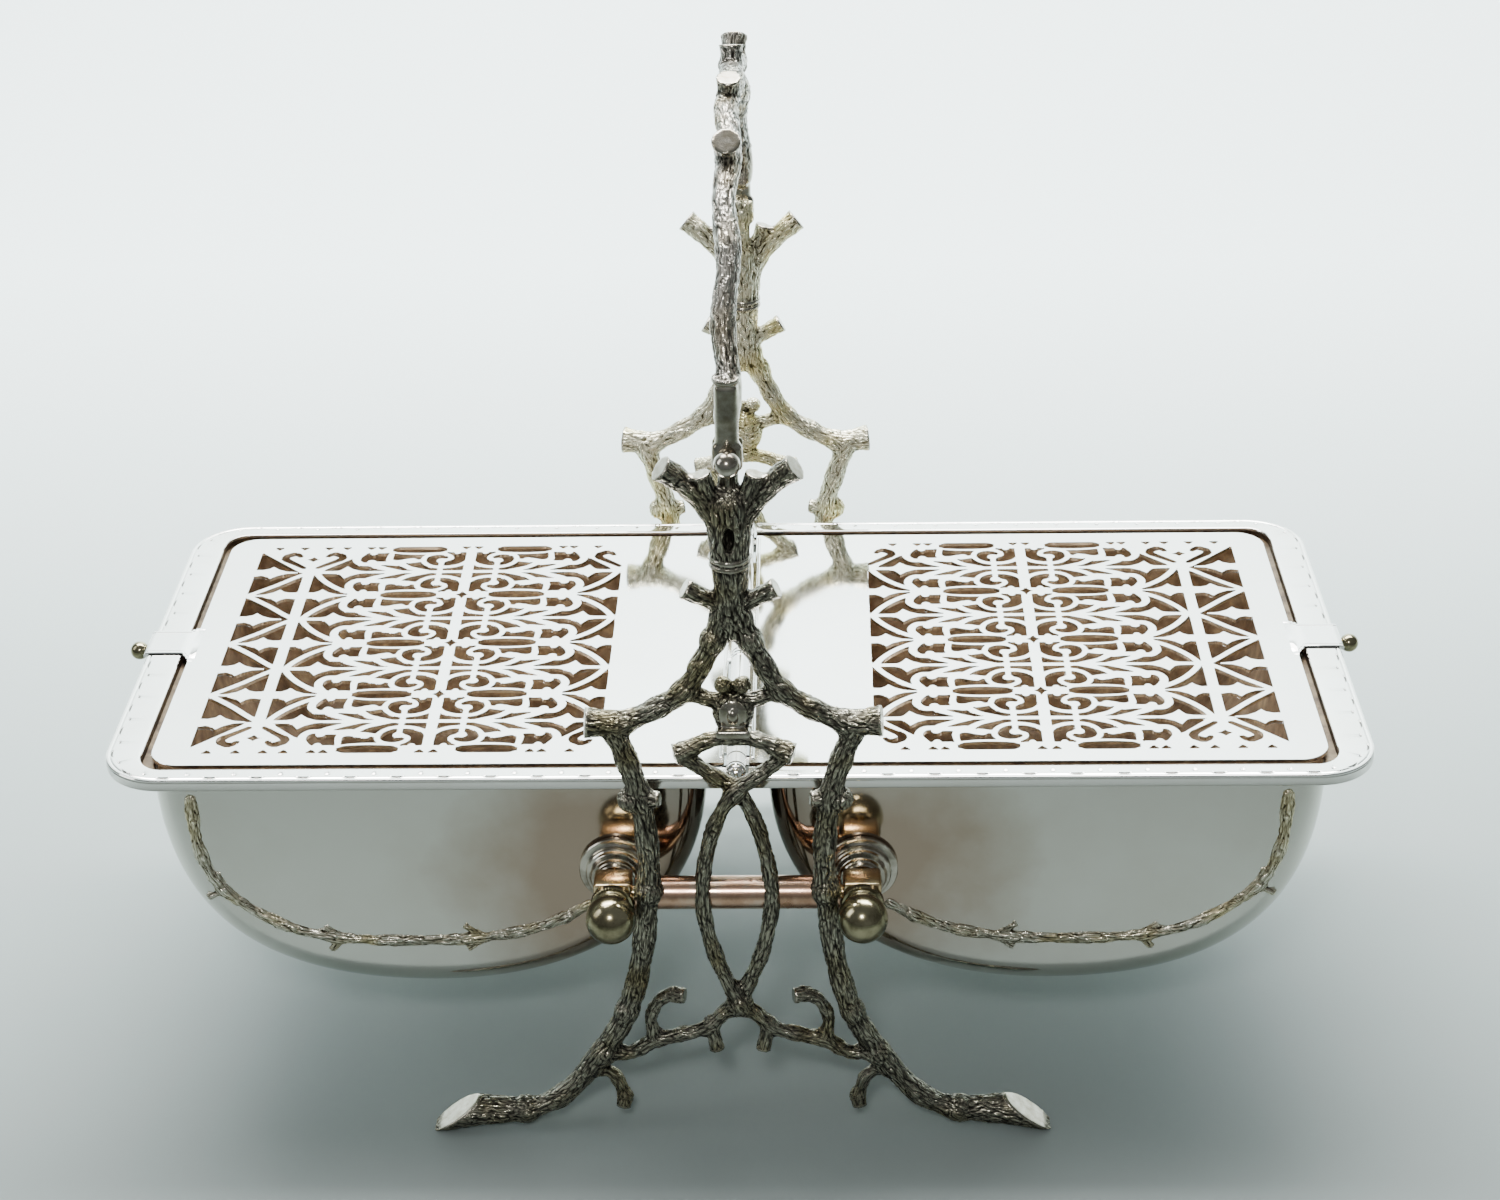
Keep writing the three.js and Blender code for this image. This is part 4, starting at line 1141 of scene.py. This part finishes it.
# ---------------------------------------------------------------- tray rims
RIM_OUTER, RIM_HALF_WIDTH, RIM_CORNER, RIM_NEAR = 205.0, 91.8, 20.0, 4.0
RIM_SIDE, RIM_END = RIM_OUTER - RIM_CORNER - RIM_NEAR, RIM_HALF_WIDTH - RIM_CORNER
RIM_TURN = RIM_CORNER * math.pi / 2
RIM_RUN = 2 * (RIM_SIDE + RIM_TURN + RIM_END)
RIB_PITCH, RIB_DEPTH = 1.0, 0.2
SEAT_HALF_WIDTH, SEAT_TOP = 8.3, -0.75  # the flat that the tab of the cover lies on
CUT_PITCH, CUT_DEPTH = 15.0, 0.22  # of the bright-cut dashes and dots on the lip
DASH_HALF, DASH_IN, DOT_HALF, DOT_IN = (2.7, 0.42), 1.9, (0.75, 0.48), 3.4
LIP_SIDE, LIP_END, LEDGE_SIDE, LEDGE_END = 7.4, 11.8, 11.5, 17.5

# Section of the rim as (distance in, height from the rim top), measured from the outer edge, from the
# inner edge of the lip or from the inner edge of the ledge. The last two lie further in at the end than
# at the sides.
RIM_SECTION = (
    ("edge", ((0.25, -4.0), (0.05, -3.8), (0, -3.5), (0, -1.4), (0.05, -1.15), (0.32, -1.0), (0.32, -0.85),
              (0.08, -0.65), (0.05, -0.35), (0.3, -0.1), (0.8, 0), (1.2, -0.05), (1.4, -0.16), (1.6, -0.1),
              (1.8, -0.03), (2.0, 0), (2.2, 0), (2.4, 0), (2.6, 0), (2.9, 0), (3.15, 0), (3.4, 0), (3.65, 0),
              (3.9, 0))),
    ("lip", ((-1.1, 0), (-0.6, -0.05), (-0.2, -0.2), (0, -0.5))),
    ("channel", ((0, -1.2), (0, -2.7), (0.2, -3.1), (0.7, -3.2))),
    ("ledge", ((-0.4, -3.2), (0, -3.4), (0, -4.2), (-0.3, -4.4))),
    ("lip", ((-0.9, -4.4), (-1.2, -4.1), (-1.2, -1.9), (-1.5, -1.6))),
    ("edge", ((1.7, -1.6), (1.3, -1.9), (1.3, -3.8), (1.1, -4.0))),
)
RIBBED_ROWS = (2, 3)


def rim_edge(run):
    """Places along the outer edge of the right rim, the outward direction, and 0 (side) to 1 (end)."""
    back = np.minimum(run, RIM_RUN - run)
    angle = np.clip((back - RIM_SIDE) / RIM_CORNER, 0, math.pi / 2)
    flip = np.where(run > RIM_RUN / 2, -1, 1)
    x = RIM_NEAR + np.minimum(back, RIM_SIDE) + RIM_CORNER * np.sin(angle)
    y = -RIM_HALF_WIDTH + RIM_CORNER * (1 - np.cos(angle)) + np.maximum(back - RIM_SIDE - RIM_TURN, 0)
    outward = np.stack([np.sin(angle), -np.cos(angle) * flip], 1)
    return np.stack([x, y * flip], 1), outward, angle / (math.pi / 2)


def bright_cuts(run, inward):
    """One in the middle of each dash or dot that is cut into the lip, zero around them."""
    dash_run = (run + CUT_PITCH / 2) % CUT_PITCH - CUT_PITCH / 2
    dot_run = run % CUT_PITCH - CUT_PITCH / 2
    bend = 0.06 * dash_run**2
    dash = 1 - (dash_run / DASH_HALF[0]) ** 2 - ((inward - DASH_IN - bend) / DASH_HALF[1]) ** 2
    dot = 1 - (dot_run / DOT_HALF[0]) ** 2 - ((inward - DOT_IN) / DOT_HALF[1]) ** 2
    return np.clip(np.maximum(dash, dot) * 1.6, 0, 1)


def rim_sweep():
    """The lip, milled edge, channel and ledge of the right rim, with the cuts and the tarnish."""
    middle = RIM_RUN / 2
    count = int(RIM_RUN / (RIB_PITCH / 2)) // 2 * 2
    steps = [middle + side * (SEAT_HALF_WIDTH + off) for side in (-1, 1) for off in (-0.01, 0.01)]
    run = np.concatenate([np.linspace(0, RIM_RUN, count + 1), steps])
    rib = np.concatenate([np.arange(count + 1) % 2, np.zeros(len(steps))])
    order = np.argsort(run)
    run, rib = run[order], rib[order]
    place, outward, turn = rim_edge(run)
    to_end = smooth_step(0, 1, turn)
    lip, ledge = LIP_SIDE + (LIP_END - LIP_SIDE) * to_end, LEDGE_SIDE + (LEDGE_END - LEDGE_SIDE) * to_end
    measured_from = {"edge": 0 * to_end, "lip": lip, "channel": lip, "ledge": ledge}
    inward = np.stack([measured_from[part] + by for part, row in RIM_SECTION for by, _ in row], 1)
    height = np.array([z for _, row in RIM_SECTION for _, z in row], float)
    tarnished = np.array([part in ("channel", "ledge") for part, row in RIM_SECTION for _ in row], float)
    inward[:, RIBBED_ROWS] += rib[:, None] * RIB_DEPTH
    cut = bright_cuts((run - middle)[:, None], inward) * (height > -0.2)
    z = height - CUT_DEPTH * cut
    z = np.where((np.abs(run - middle) < SEAT_HALF_WIDTH)[:, None], np.minimum(z, SEAT_TOP), z)
    flat = place[:, None] - inward[..., None] * outward[:, None]
    points, faces = skin(np.concatenate([flat, RIM_Z + z[..., None]], 2))
    return points, faces, cut.ravel(), np.tile(tarnished, len(run))


def make_rims():
    """Both rims, each with the inner strip along the hinge and its barrels."""
    points, faces, cut, brown = rim_sweep()
    strip = [(4.6, -4.4), (14, -4.4), (14, -3.4), (13.8, -3.2), (4.8, -3.2), (4.6, -3.4)]
    strip = drawn_along_y([(x, RIM_Z + z) for x, z in strip], [(-81, 0), (81, 0)])
    top, bottom = RIM_Z - 1.8 - HINGE_Z, RIM_Z - 4.4 - HINGE_Z
    leaf = ((7.2, top), (7.2, bottom), (1.7, bottom))
    material = rim_plate()
    for side, name in ((1, "right"), (-1, "left")):
        whole, polygons = joined((points, faces), strip, *knuckles(RIM_KNUCKLES[name], leaf, -54, 300))
        extra = len(whole) - len(points)
        if side < 0:
            whole, polygons = mirrored(whole, polygons, 0)
        rim = make_object(f"{name}_milled_rim", whole, polygons, material, f"{name}_shell", "mirror_plate",
                          28, nodes=(f"{name}_rim",), close=True)
        add_attribute(rim, "cut", np.concatenate([cut, np.zeros(extra)]))
        add_attribute(rim, "brown", np.concatenate([brown, np.full(extra, 0.4)]))


# ---------------------------------------------------------------- shells
SHELL_FAR, SHELL_NEAR, SHELL_MOUTH, SHELL_BEND, SHELL_BOTTOM = 190.0, 10.0, -4.7, -8.0, -88.0
SHELL_HALF_WIDTH, SHELL_FILLET, SHELL_WALL = 83.0, 10.0, 1.5
# Two Bezier curves that share their middle point, from the outer mouth to the hinge side.
SHELL_CURVE = np.array((
    (SHELL_FAR, SHELL_BEND), (190, -58), (165, SHELL_BOTTOM), (102, SHELL_BOTTOM),
    (50, SHELL_BOTTOM), (SHELL_NEAR, -60), (SHELL_NEAR, SHELL_BEND),
))


def shell_profile():
    """The side profile of a shell from its outer mouth to its hinge side, and the inward directions."""
    places = [(SHELL_FAR, SHELL_MOUTH), SHELL_CURVE[0]]
    for first in (0, 3):
        a, b, c, d = SHELL_CURVE[first : first + 4]
        for t in np.linspace(0, 1, 40)[1:]:
            places.append((1 - t) ** 3 * a + 3 * t * (1 - t) ** 2 * b + 3 * t * t * (1 - t) * c + t**3 * d)
    places = np.vstack(places + [(SHELL_NEAR, SHELL_MOUTH)])
    ahead = np.gradient(places, axis=0)
    ahead[[0, 1, -2, -1]] = ((0, -1), (0, -1), (0, 1), (0, 1))
    ahead = unit(ahead)
    return places, np.stack([ahead[:, 1], -ahead[:, 0]], 1)


def shell_layer(by):
    """One face of the sheet that a shell is raised from, set in by a distance: a grid of points."""
    places, inward = shell_profile()
    radius = SHELL_FILLET - by
    turn = np.radians(np.linspace(90, 0, 10))
    straight = SHELL_HALF_WIDTH - SHELL_FILLET
    ys = [-(straight + radius)] + [-(straight + radius * math.sin(a)) for a in turn] + [-40, 0]
    insets = [by + radius + 0.8] + [by + radius * (1 - math.cos(a)) for a in turn] + [by, by]
    ys, insets = ys + [-y for y in reversed(ys[:-1])], insets + insets[-2::-1]
    flat = places[:, None] + np.array(insets)[None, :, None] * inward[:, None]
    y = np.broadcast_to(np.array(ys), flat.shape[:2])
    return np.stack([flat[..., 0], y, RIM_Z + flat[..., 1]], 2)


def shell_surface():
    """A shell as one closed sheet, and one for each point of its inner face."""
    outer, inner = shell_layer(0), shell_layer(SHELL_WALL)
    rows, columns = outer.shape[:2]
    size, last = rows * columns, (rows - 1) * columns
    layer = grid_faces(rows, columns)
    layer.append(tuple(k * columns for k in range(rows)))
    layer.append(tuple(k * columns + columns - 1 for k in reversed(range(rows))))
    faces = layer + [tuple(v + size for v in face) for face in layer]
    for row in (0, last):
        faces += [(row + k, row + k + 1, size + row + k + 1, size + row + k) for k in range(columns - 1)]
    for end in (0, columns - 1):
        faces.append((end, last + end, size + last + end, size + end))
    return np.vstack([outer.reshape(-1, 3), inner.reshape(-1, 3)]), faces, np.repeat((0.0, 1.0), size)


# Chased twig round the front of each shell: (distance from the hinge, height from the rim top).
BORDER = ((177, -12.6), (176, -31.8), (169.3, -47.4), (150.8, -61.3), (131.3, -66.6), (108, -67.6),
          (84.7, -66.5), (64.5, -61.8), (49.3, -53.9))
BORDER_RADIUS, BORDER_SUNK = 2.75, 1.5
# Stumps of that twig: root, then the two tips of its fork.
BORDER_STUMPS = (
    ((169.3, -47.4), (175.5, -50.5), (171.5, -40.5)),
    ((131.3, -66.6), (138, -61.8), (136.5, -71.5)),
    ((84.7, -66.5), (91.5, -61.6), (90.5, -71.3)),
)


def border_surface():
    """The raised twig on the front plate of the right shell."""
    face = -SHELL_HALF_WIDTH
    depth = face + BORDER_SUNK
    low, high = (43, face - 2.5, RIM_Z - 78), (184, face + 2.2, RIM_Z - 8)
    shape = Sculpt(low, high, 0.4)
    path = spline([(x, depth, RIM_Z + z) for x, z in BORDER], 10)
    radii = BORDER_RADIUS * (1 + 0.08 * np.sin(np.arange(len(path)) * 0.7))
    shape.branch(path, radii, 1.0)
    lines = [(path, radii)]
    for (x, z), *tips in BORDER_STUMPS:
        for tip_x, tip_z in tips:
            stump = np.linspace((x, depth, RIM_Z + z), (tip_x, depth, RIM_Z + tip_z), 5)
            widths = np.linspace(1.9, 2.1, 5)
            shape.branch(stump, widths, 1.0, cut_end=True)
            lines.append((stump, widths))
    shape.cut(low, high, lambda x, y, z: -(y - (face + 0.7)) + 0 * x + 0 * z, 0.1)
    points, quads = shape.surface()
    points = smoothed(points, quads, 2)
    return (*carve_bark(points, quads, lines, np.zeros(len(points))), quads)


def make_shells():
    points, faces, inside = shell_surface()
    twig, place, relief, quads = border_surface()
    metal, chased = shell_plate(), oxidised_silver("border")
    for side, name in ((1, "right"), (-1, "left")):
        surface = (points, faces) if side > 0 else mirrored(points, faces, 0)
        shell = make_object(f"{name}_raised_shell", *surface, metal, f"{name}_shell", "shell_plate", 50,
                            nodes=(f"{name}_shell",), close=True)
        add_attribute(shell, "inside", inside)
        for end, facing in (("front", 1), ("rear", -1)):
            border = (twig, quads) if side > 0 else mirrored(twig, quads, 0)
            border = border if facing > 0 else mirrored(*border, 1)
            trim = make_object(f"{name}_{end}_twig_border", *border, chased, f"{name}_shell", "twig_silver")
            add_bark(trim, place, relief, np.zeros(len(twig)))


# ---------------------------------------------------------------- tabs and edges of the covers
# The tab that a cover is lifted by: (x, z) of its upper face and of its lower one, and its half width.
TAB = (
    (186.0, -0.45, 186.0, -1.5, 12.4), (188.4, -0.40, 188.4, -1.5, 12.4), (190.3, -0.3, 190.3, -1.4, 12.3),
    (190.6, -0.1, 190.6, -1.3, 11.1), (191.2, 0.12, 191.3, -1.05, 10.9), (191.5, 0.22, 191.6, -0.9, 9.7),
    (192.1, 0.4, 192.2, -0.68, 9.6), (192.4, 0.48, 192.5, -0.6, 8.4), (193.0, 0.6, 193.1, -0.5, 8.0),
    (194.0, 0.65, 194.0, -0.45, 8.0), (197.0, 0.65, 197.0, -0.45, 8.0), (204.6, 0.65, 204.4, -0.45, 8.0),
    (205.5, 0.58, 204.9, -0.50, 8.0), (206.1, 0.30, 205.2, -0.62, 8.0), (206.35, -0.1, 205.3, -0.8, 8.0),
    (206.4, -0.95, 205.3, -0.95, 8.0),
)
# Half of the upper face, across: (share of the half width, height), with a line cut near the edge.
TAB_ACROSS = ((-1, -0.22), (-0.985, -0.05), (-0.955, 0), (-0.86, 0), (-0.845, -0.12), (-0.815, -0.12),
              (-0.80, 0))


def cover_tab():
    """A strap that crosses the channel and the lip of the rim, with a line cut along each edge."""
    across = [*TAB_ACROSS, (0, 0), *((-share, z) for share, z in reversed(TAB_ACROSS))]
    rows = []
    for x, z, under_x, under_z, half in TAB:
        row = [(x, share * half, z + lift) for share, lift in across]
        rows.append(row + [(under_x, share * half, under_z) for share in (0.985, 0, -0.985)])
    points, faces = skin(rows)
    return points + (0, 0, RIM_Z), faces


def cover_roll():
    """A thin bead along the hinge side of a cover."""
    bead = circle(np.linspace(0, 2 * math.pi, 14, endpoint=False))
    ends = ((-79.6, 0.4), (-79.2, 0.1), (-78.8, 0))
    return drawn_along_y((5.1, COVER_TOP - 0.05) + 0.62 * bead,
                         [*ends, *((-y, by) for y, by in reversed(ends))])


def cover_fittings(name):
    """The tab, bead and hinge barrels of a cover, on its +X side."""
    top, bottom = COVER_TOP - HINGE_Z, COVER_TOP - COVER_THICKNESS - HINGE_Z
    leaf = ((5.2, top), (5.2, bottom))
    barrels = knuckles(COVER_KNUCKLES[name], leaf, -22, 311)
    if name == "left":
        barrels.append(knuckle(*MIDDLE_KNUCKLE, leaf, -22, 311))
    return joined(cover_tab(), cover_roll(), *barrels)


# ---------------------------------------------------------------- turned pieces
BLOCK_HALF, BLOCK_Y, BLOCK_DEPTH, BLOCK_CHAMFER = 6.1, 97.8, 10.0, 1.1
NUT_BALL_Y, NUT_BALL_RADIUS = 113.1, 8.0
KNOB_Z = RIM_Z - 2.7
TUBE_SEGMENTS = 56

# Profiles as (radius, distance along the axis).
PIVOT = ((TIP, 83.3), (11.7, 83.3), (12, 83.6), (12, 84.7), (11.7, 85.1), (10.2, 85.15), (9.8, 85.4),
         (9.6, 85.9), (9.6, 87.3), (9.3, 87.7), (8.5, 87.75), (8.2, 88.1), (7.9, 89.6), (7.6, 90.0),
         (6.7, 90.1), (6.4, 90.5), (6.4, 91.9), (6.1, 92.3), (2.9, 92.3), (2.9, 109.2), (2.6, 109.5),
         (TIP, 109.5))
BALL_NUT = ((TIP, 110.1), (3.2, 110.1), (3.2, 103.4), (3.5, 103.1), (6.5, 103.1), (6.9, 103.35), (6.9, 105.2),
            (6.55, 105.5), (5.8, 105.75), (5.5, 106.4), *arc(NUT_BALL_Y, NUT_BALL_RADIUS, -45, 90, 18))
KNURLED_ROWS = (5, 6)
KNOB = ((TIP, 205.3), (1.0, 205.3), (1.1, 205.45), (1.1, 206.2), (1.3, 206.5), *arc(209.5, 3.2, -64, 90, 14))
CAP = ((TIP, 88.5), (3.0, 88.5), (3.2, 88.7), (3.2, 89.15), (3.05, 89.35), (2.5, 89.6), (2.2, 90.4),
       (1.8, 90.75), (1.2, 90.95), (1.1, 91.3), (0.95, 91.6), (0.6, 91.77), (TIP, 91.8))
SCREW = ((TIP, 100.1), (1.5, 100.1), (1.8, 100.4), (1.8, 108.6), (2.12, 108.6), *arc(112.0, 4.0, -58, 90, 16))
ROD = ((TIP, 2.2), (2.0, 2.2), (2.3, 2.5), (2.3, 36.0), (TIP, 36.0))
TUBE_HALF = ((4.5, 33), (5.1, 33), (5.4, 32.7), (5.4, 30.6), (5.2, 30.4), (5.2, 30.0), (5.4, 29.8))


def along_x(surface, side=1):
    """A piece turned about Y, laid along X instead. side is the way that Y comes to point."""
    points, faces = surface
    return np.stack([side * points[:, 1], -side * points[:, 0], points[:, 2]], 1), faces


def moved(surface, x=0.0, y=0.0, z=0.0):
    points, faces = surface
    return points + (x, y, z), faces


def rounded_block():
    """A slide block at the origin with chamfered edges."""
    outline = []
    for cx, cz, start in ((1, 1, 0), (-1, 1, 90), (-1, -1, 180), (1, -1, 270)):
        corner = np.array((cx, cz)) * (BLOCK_HALF - BLOCK_CHAMFER)
        outline += list(corner + BLOCK_CHAMFER * circle(np.radians(start + np.arange(0, 91, 30))))
    half = BLOCK_DEPTH / 2
    return drawn_along_y(outline, [(-half, 0.7), (-half + 0.2, 0.3), (-half + 0.7, 0), (half - 0.7, 0),
                                   (half - 0.2, 0.3), (half, 0.7)])


def hollow_tube():
    """The cross tube about the Y axis, open at both ends, with a ring cut near each end."""
    profile = [(r, -y) for r, y in TUBE_HALF] + list(reversed(TUBE_HALF))
    round_once = circle(np.linspace(0, 2 * math.pi, TUBE_SEGMENTS, endpoint=False))
    return skin([at_y(r * round_once, y) for r, y in profile], wrap_rows=True)


def make_metal_piece(name, surface, material, body, slot, node):
    make_object(name, *surface, material, body, slot, 32, nodes=(node,), close=True)


def make_side_pivot(name, end, side, facing, plate, brass, golden):
    """The boss on a shell, the square block that it turns in, and the nut on its stud."""
    pivot = dict(x=side * PIVOT_X, z=PIVOT_Z)
    make_metal_piece(f"{name}_{end}_boss", moved(turned(PIVOT, facing, 64), **pivot), plate, f"{name}_shell",
                     "turned_plate", f"{name}_{end}_pivot")
    nut = moved(turned(BALL_NUT, facing, 96, KNURLED_ROWS), **pivot)
    make_metal_piece(f"{name}_{end}_round_nut", nut, brass, f"{name}_{end}_ball_nut", "turned_plate",
                     f"{name}_{end}_ball_nut")
    block = joined(moved(rounded_block(), x=side * PIVOT_X), along_x(turned(ROD, 1, 32), side))
    make_metal_piece(f"{name}_{end}_square_block", moved(block, y=facing * BLOCK_Y, z=PIVOT_Z), golden,
                     f"{name}_{end}_slide_block", "worn_copper", f"{name}_{end}_slide_block")


def make_turned_pieces():
    plate, brass = turned_plate("pivot_plate"), turned_plate("nut_plate")
    bright = plated_silver("hinge_plate", tarnish=0.3)
    copper, golden = worn_copper("tube"), worn_copper("block")
    for end, facing in (("front", -1), ("rear", 1)):
        make_metal_piece(f"{end}_ball_screw", moved(turned(SCREW, facing), z=HANDLE_Z), plate, "frame",
                         "turned_plate", f"{end}_handle_screw")
        tube = moved(along_x(hollow_tube()), y=facing * BLOCK_Y, z=PIVOT_Z)
        make_metal_piece(f"{end}_copper_tube", tube, copper, "frame", "worn_copper", f"{end}_cross_tube")
        make_metal_piece(f"{end}_hinge_finial", moved(turned(CAP, facing), z=HINGE_Z), bright, "hinge_pin",
                         "mirror_plate", f"{end}_hinge_cap")
        for name, side in (("left", -1), ("right", 1)):
            make_side_pivot(name, end, side, facing, plate, brass, golden)
    for name, side in (("left", -1), ("right", 1)):
        knob = moved(along_x(turned(KNOB, 1), side), z=KNOB_Z)
        make_metal_piece(f"{name}_ball_knob", knob, brass, f"{name}_shell", "turned_plate", f"{name}_knob")


def finish_cad_nodes():
    """Gives the hinge pin, the one CAD node that stays, its own material."""
    pin = bpy.data.objects["hinge_pin"]
    pin.data.materials.clear()
    pin.data.materials.append(plated_silver("pin_plate", rough=(0.12, 0.3), tarnish=0.6))


# ---------------------------------------------------------------- stage, lights and camera
CAMERA_PLACE = (25.0, -858.3, 595.1)
CAMERA_YAW, CAMERA_DOWN, CAMERA_ROLL = -1.4535, 27.743, 1.062
LENS, SENSOR = 67.79, 36.0

# The floor from the viewer to the back wall, darkened towards the viewer as a painted falloff of light:
# (place on the ramp, colour).
FLOOR_TONES_PAINTED_FALLOFF = ((0.06, (0.10, 0.115, 0.105)), (0.32, (0.20, 0.232, 0.224)), (0.62, (0.45, 0.53, 0.52)),
               (1.0, (0.84, 0.95, 0.95)))


def make_floor():
    """A pale sheet that curves up behind the box, with a painted falloff of light that darkens it towards the
    viewer.
    """
    flat_front, flat_back, rise, width = -1500, 620, 900, 3000
    bend = np.linspace(0.1, math.pi / 2, 15)
    profile = [(flat_front, 0.0), (flat_back, 0.0)]
    profile += [(flat_back + rise * math.sin(a), rise * (1 - math.cos(a))) for a in bend]
    profile.append((flat_back + rise, 2200))
    points = [(x, y, z) for y, z in profile for x in (-width, width)]
    faces = [(2 * k, 2 * k + 1, 2 * k + 3, 2 * k + 2) for k in range(len(profile) - 1)]
    mesh = bpy.data.meshes.new("floor")
    mesh.from_pydata([(x * MM, y * MM, z * MM) for x, y, z in points], [], faces)
    mesh.shade_smooth()
    floor = bpy.data.objects.new("floor", mesh)
    bpy.context.scene.collection.objects.link(floor)
    paper = Look("floor_paper_painted_falloff")
    # The ramp along Y paints the falloff of light across the floor.
    depth = paper.calc("MULTIPLY_ADD", paper.axes()[1], 0.8, 0.45)
    paper.feed("Base Color", paper.ramp(depth, *FLOOR_TONES_PAINTED_FALLOFF))
    paper.feed("Roughness", 0.55)
    paper.feed("Specular IOR Level", 0.25)
    mesh.materials.append(paper.material)


def add_area(name, place, target, size, power, colour=(1, 1, 1)):
    """A rectangular light at a place, turned towards a target; the size is in mm and the power in watts."""
    lamp = bpy.data.lights.new(name, "AREA")
    lamp.shape, lamp.size, lamp.size_y = "RECTANGLE", size[0] * MM, size[1] * MM
    lamp.energy, lamp.color = power, colour
    thing = bpy.data.objects.new(name, lamp)
    thing.location = Vector(place) * MM
    thing.rotation_euler = (Vector(target) - Vector(place)).to_track_quat("-Z", "Y").to_euler()
    bpy.context.scene.collection.objects.link(thing)


def make_lights():
    add_area("overhead", (-100, 650, 1600), (0, 350, 0), (1500, 900), 52)
    add_area("backdrop_light", (0, 500, 1500), (0, 1400, 500), (1800, 500), 75)
    add_area("left_window", (-1300, -250, 900), (0, 0, 120), (500, 900), 5, (0.96, 0.98, 1.0))
    add_area("flash", (-60, -900, 800), (0, 0, 130), (120, 120), 4)
    world = bpy.data.worlds.new("room")
    world.use_nodes = True
    background = world.node_tree.nodes["Background"]
    background.inputs["Color"].default_value = (0.78, 0.84, 0.86, 1)
    background.inputs["Strength"].default_value = 0.22
    bpy.context.scene.world = world


def make_camera():
    """The camera that was fitted to the photograph."""
    yaw, down, roll = (math.radians(a) for a in (CAMERA_YAW, CAMERA_DOWN, CAMERA_ROLL))
    forward = Vector((math.sin(yaw) * math.cos(down), math.cos(yaw) * math.cos(down), -math.sin(down)))
    level = forward.cross(Vector((0, 0, 1))).normalized()
    above = level.cross(forward)
    right = level * math.cos(roll) - above * math.sin(roll)
    up = level * math.sin(roll) + above * math.cos(roll)
    camera = bpy.data.objects.new("camera", bpy.data.cameras.new("camera"))
    camera.data.lens, camera.data.sensor_width = LENS, SENSOR
    camera.data.clip_start, camera.data.clip_end = 0.05, 20
    turn = Matrix((right, up, -forward)).transposed().to_4x4()
    camera.matrix_world = Matrix.Translation(Vector(CAMERA_PLACE) * MM) @ turn
    bpy.context.scene.collection.objects.link(camera)
    bpy.context.scene.camera = camera


# ---------------------------------------------------------------- the whole scene
make_twig_frames()
make_handle()
make_covers()
make_rims()
make_shells()
make_turned_pieces()
finish_cad_nodes()
make_floor()
make_lights()
make_camera()
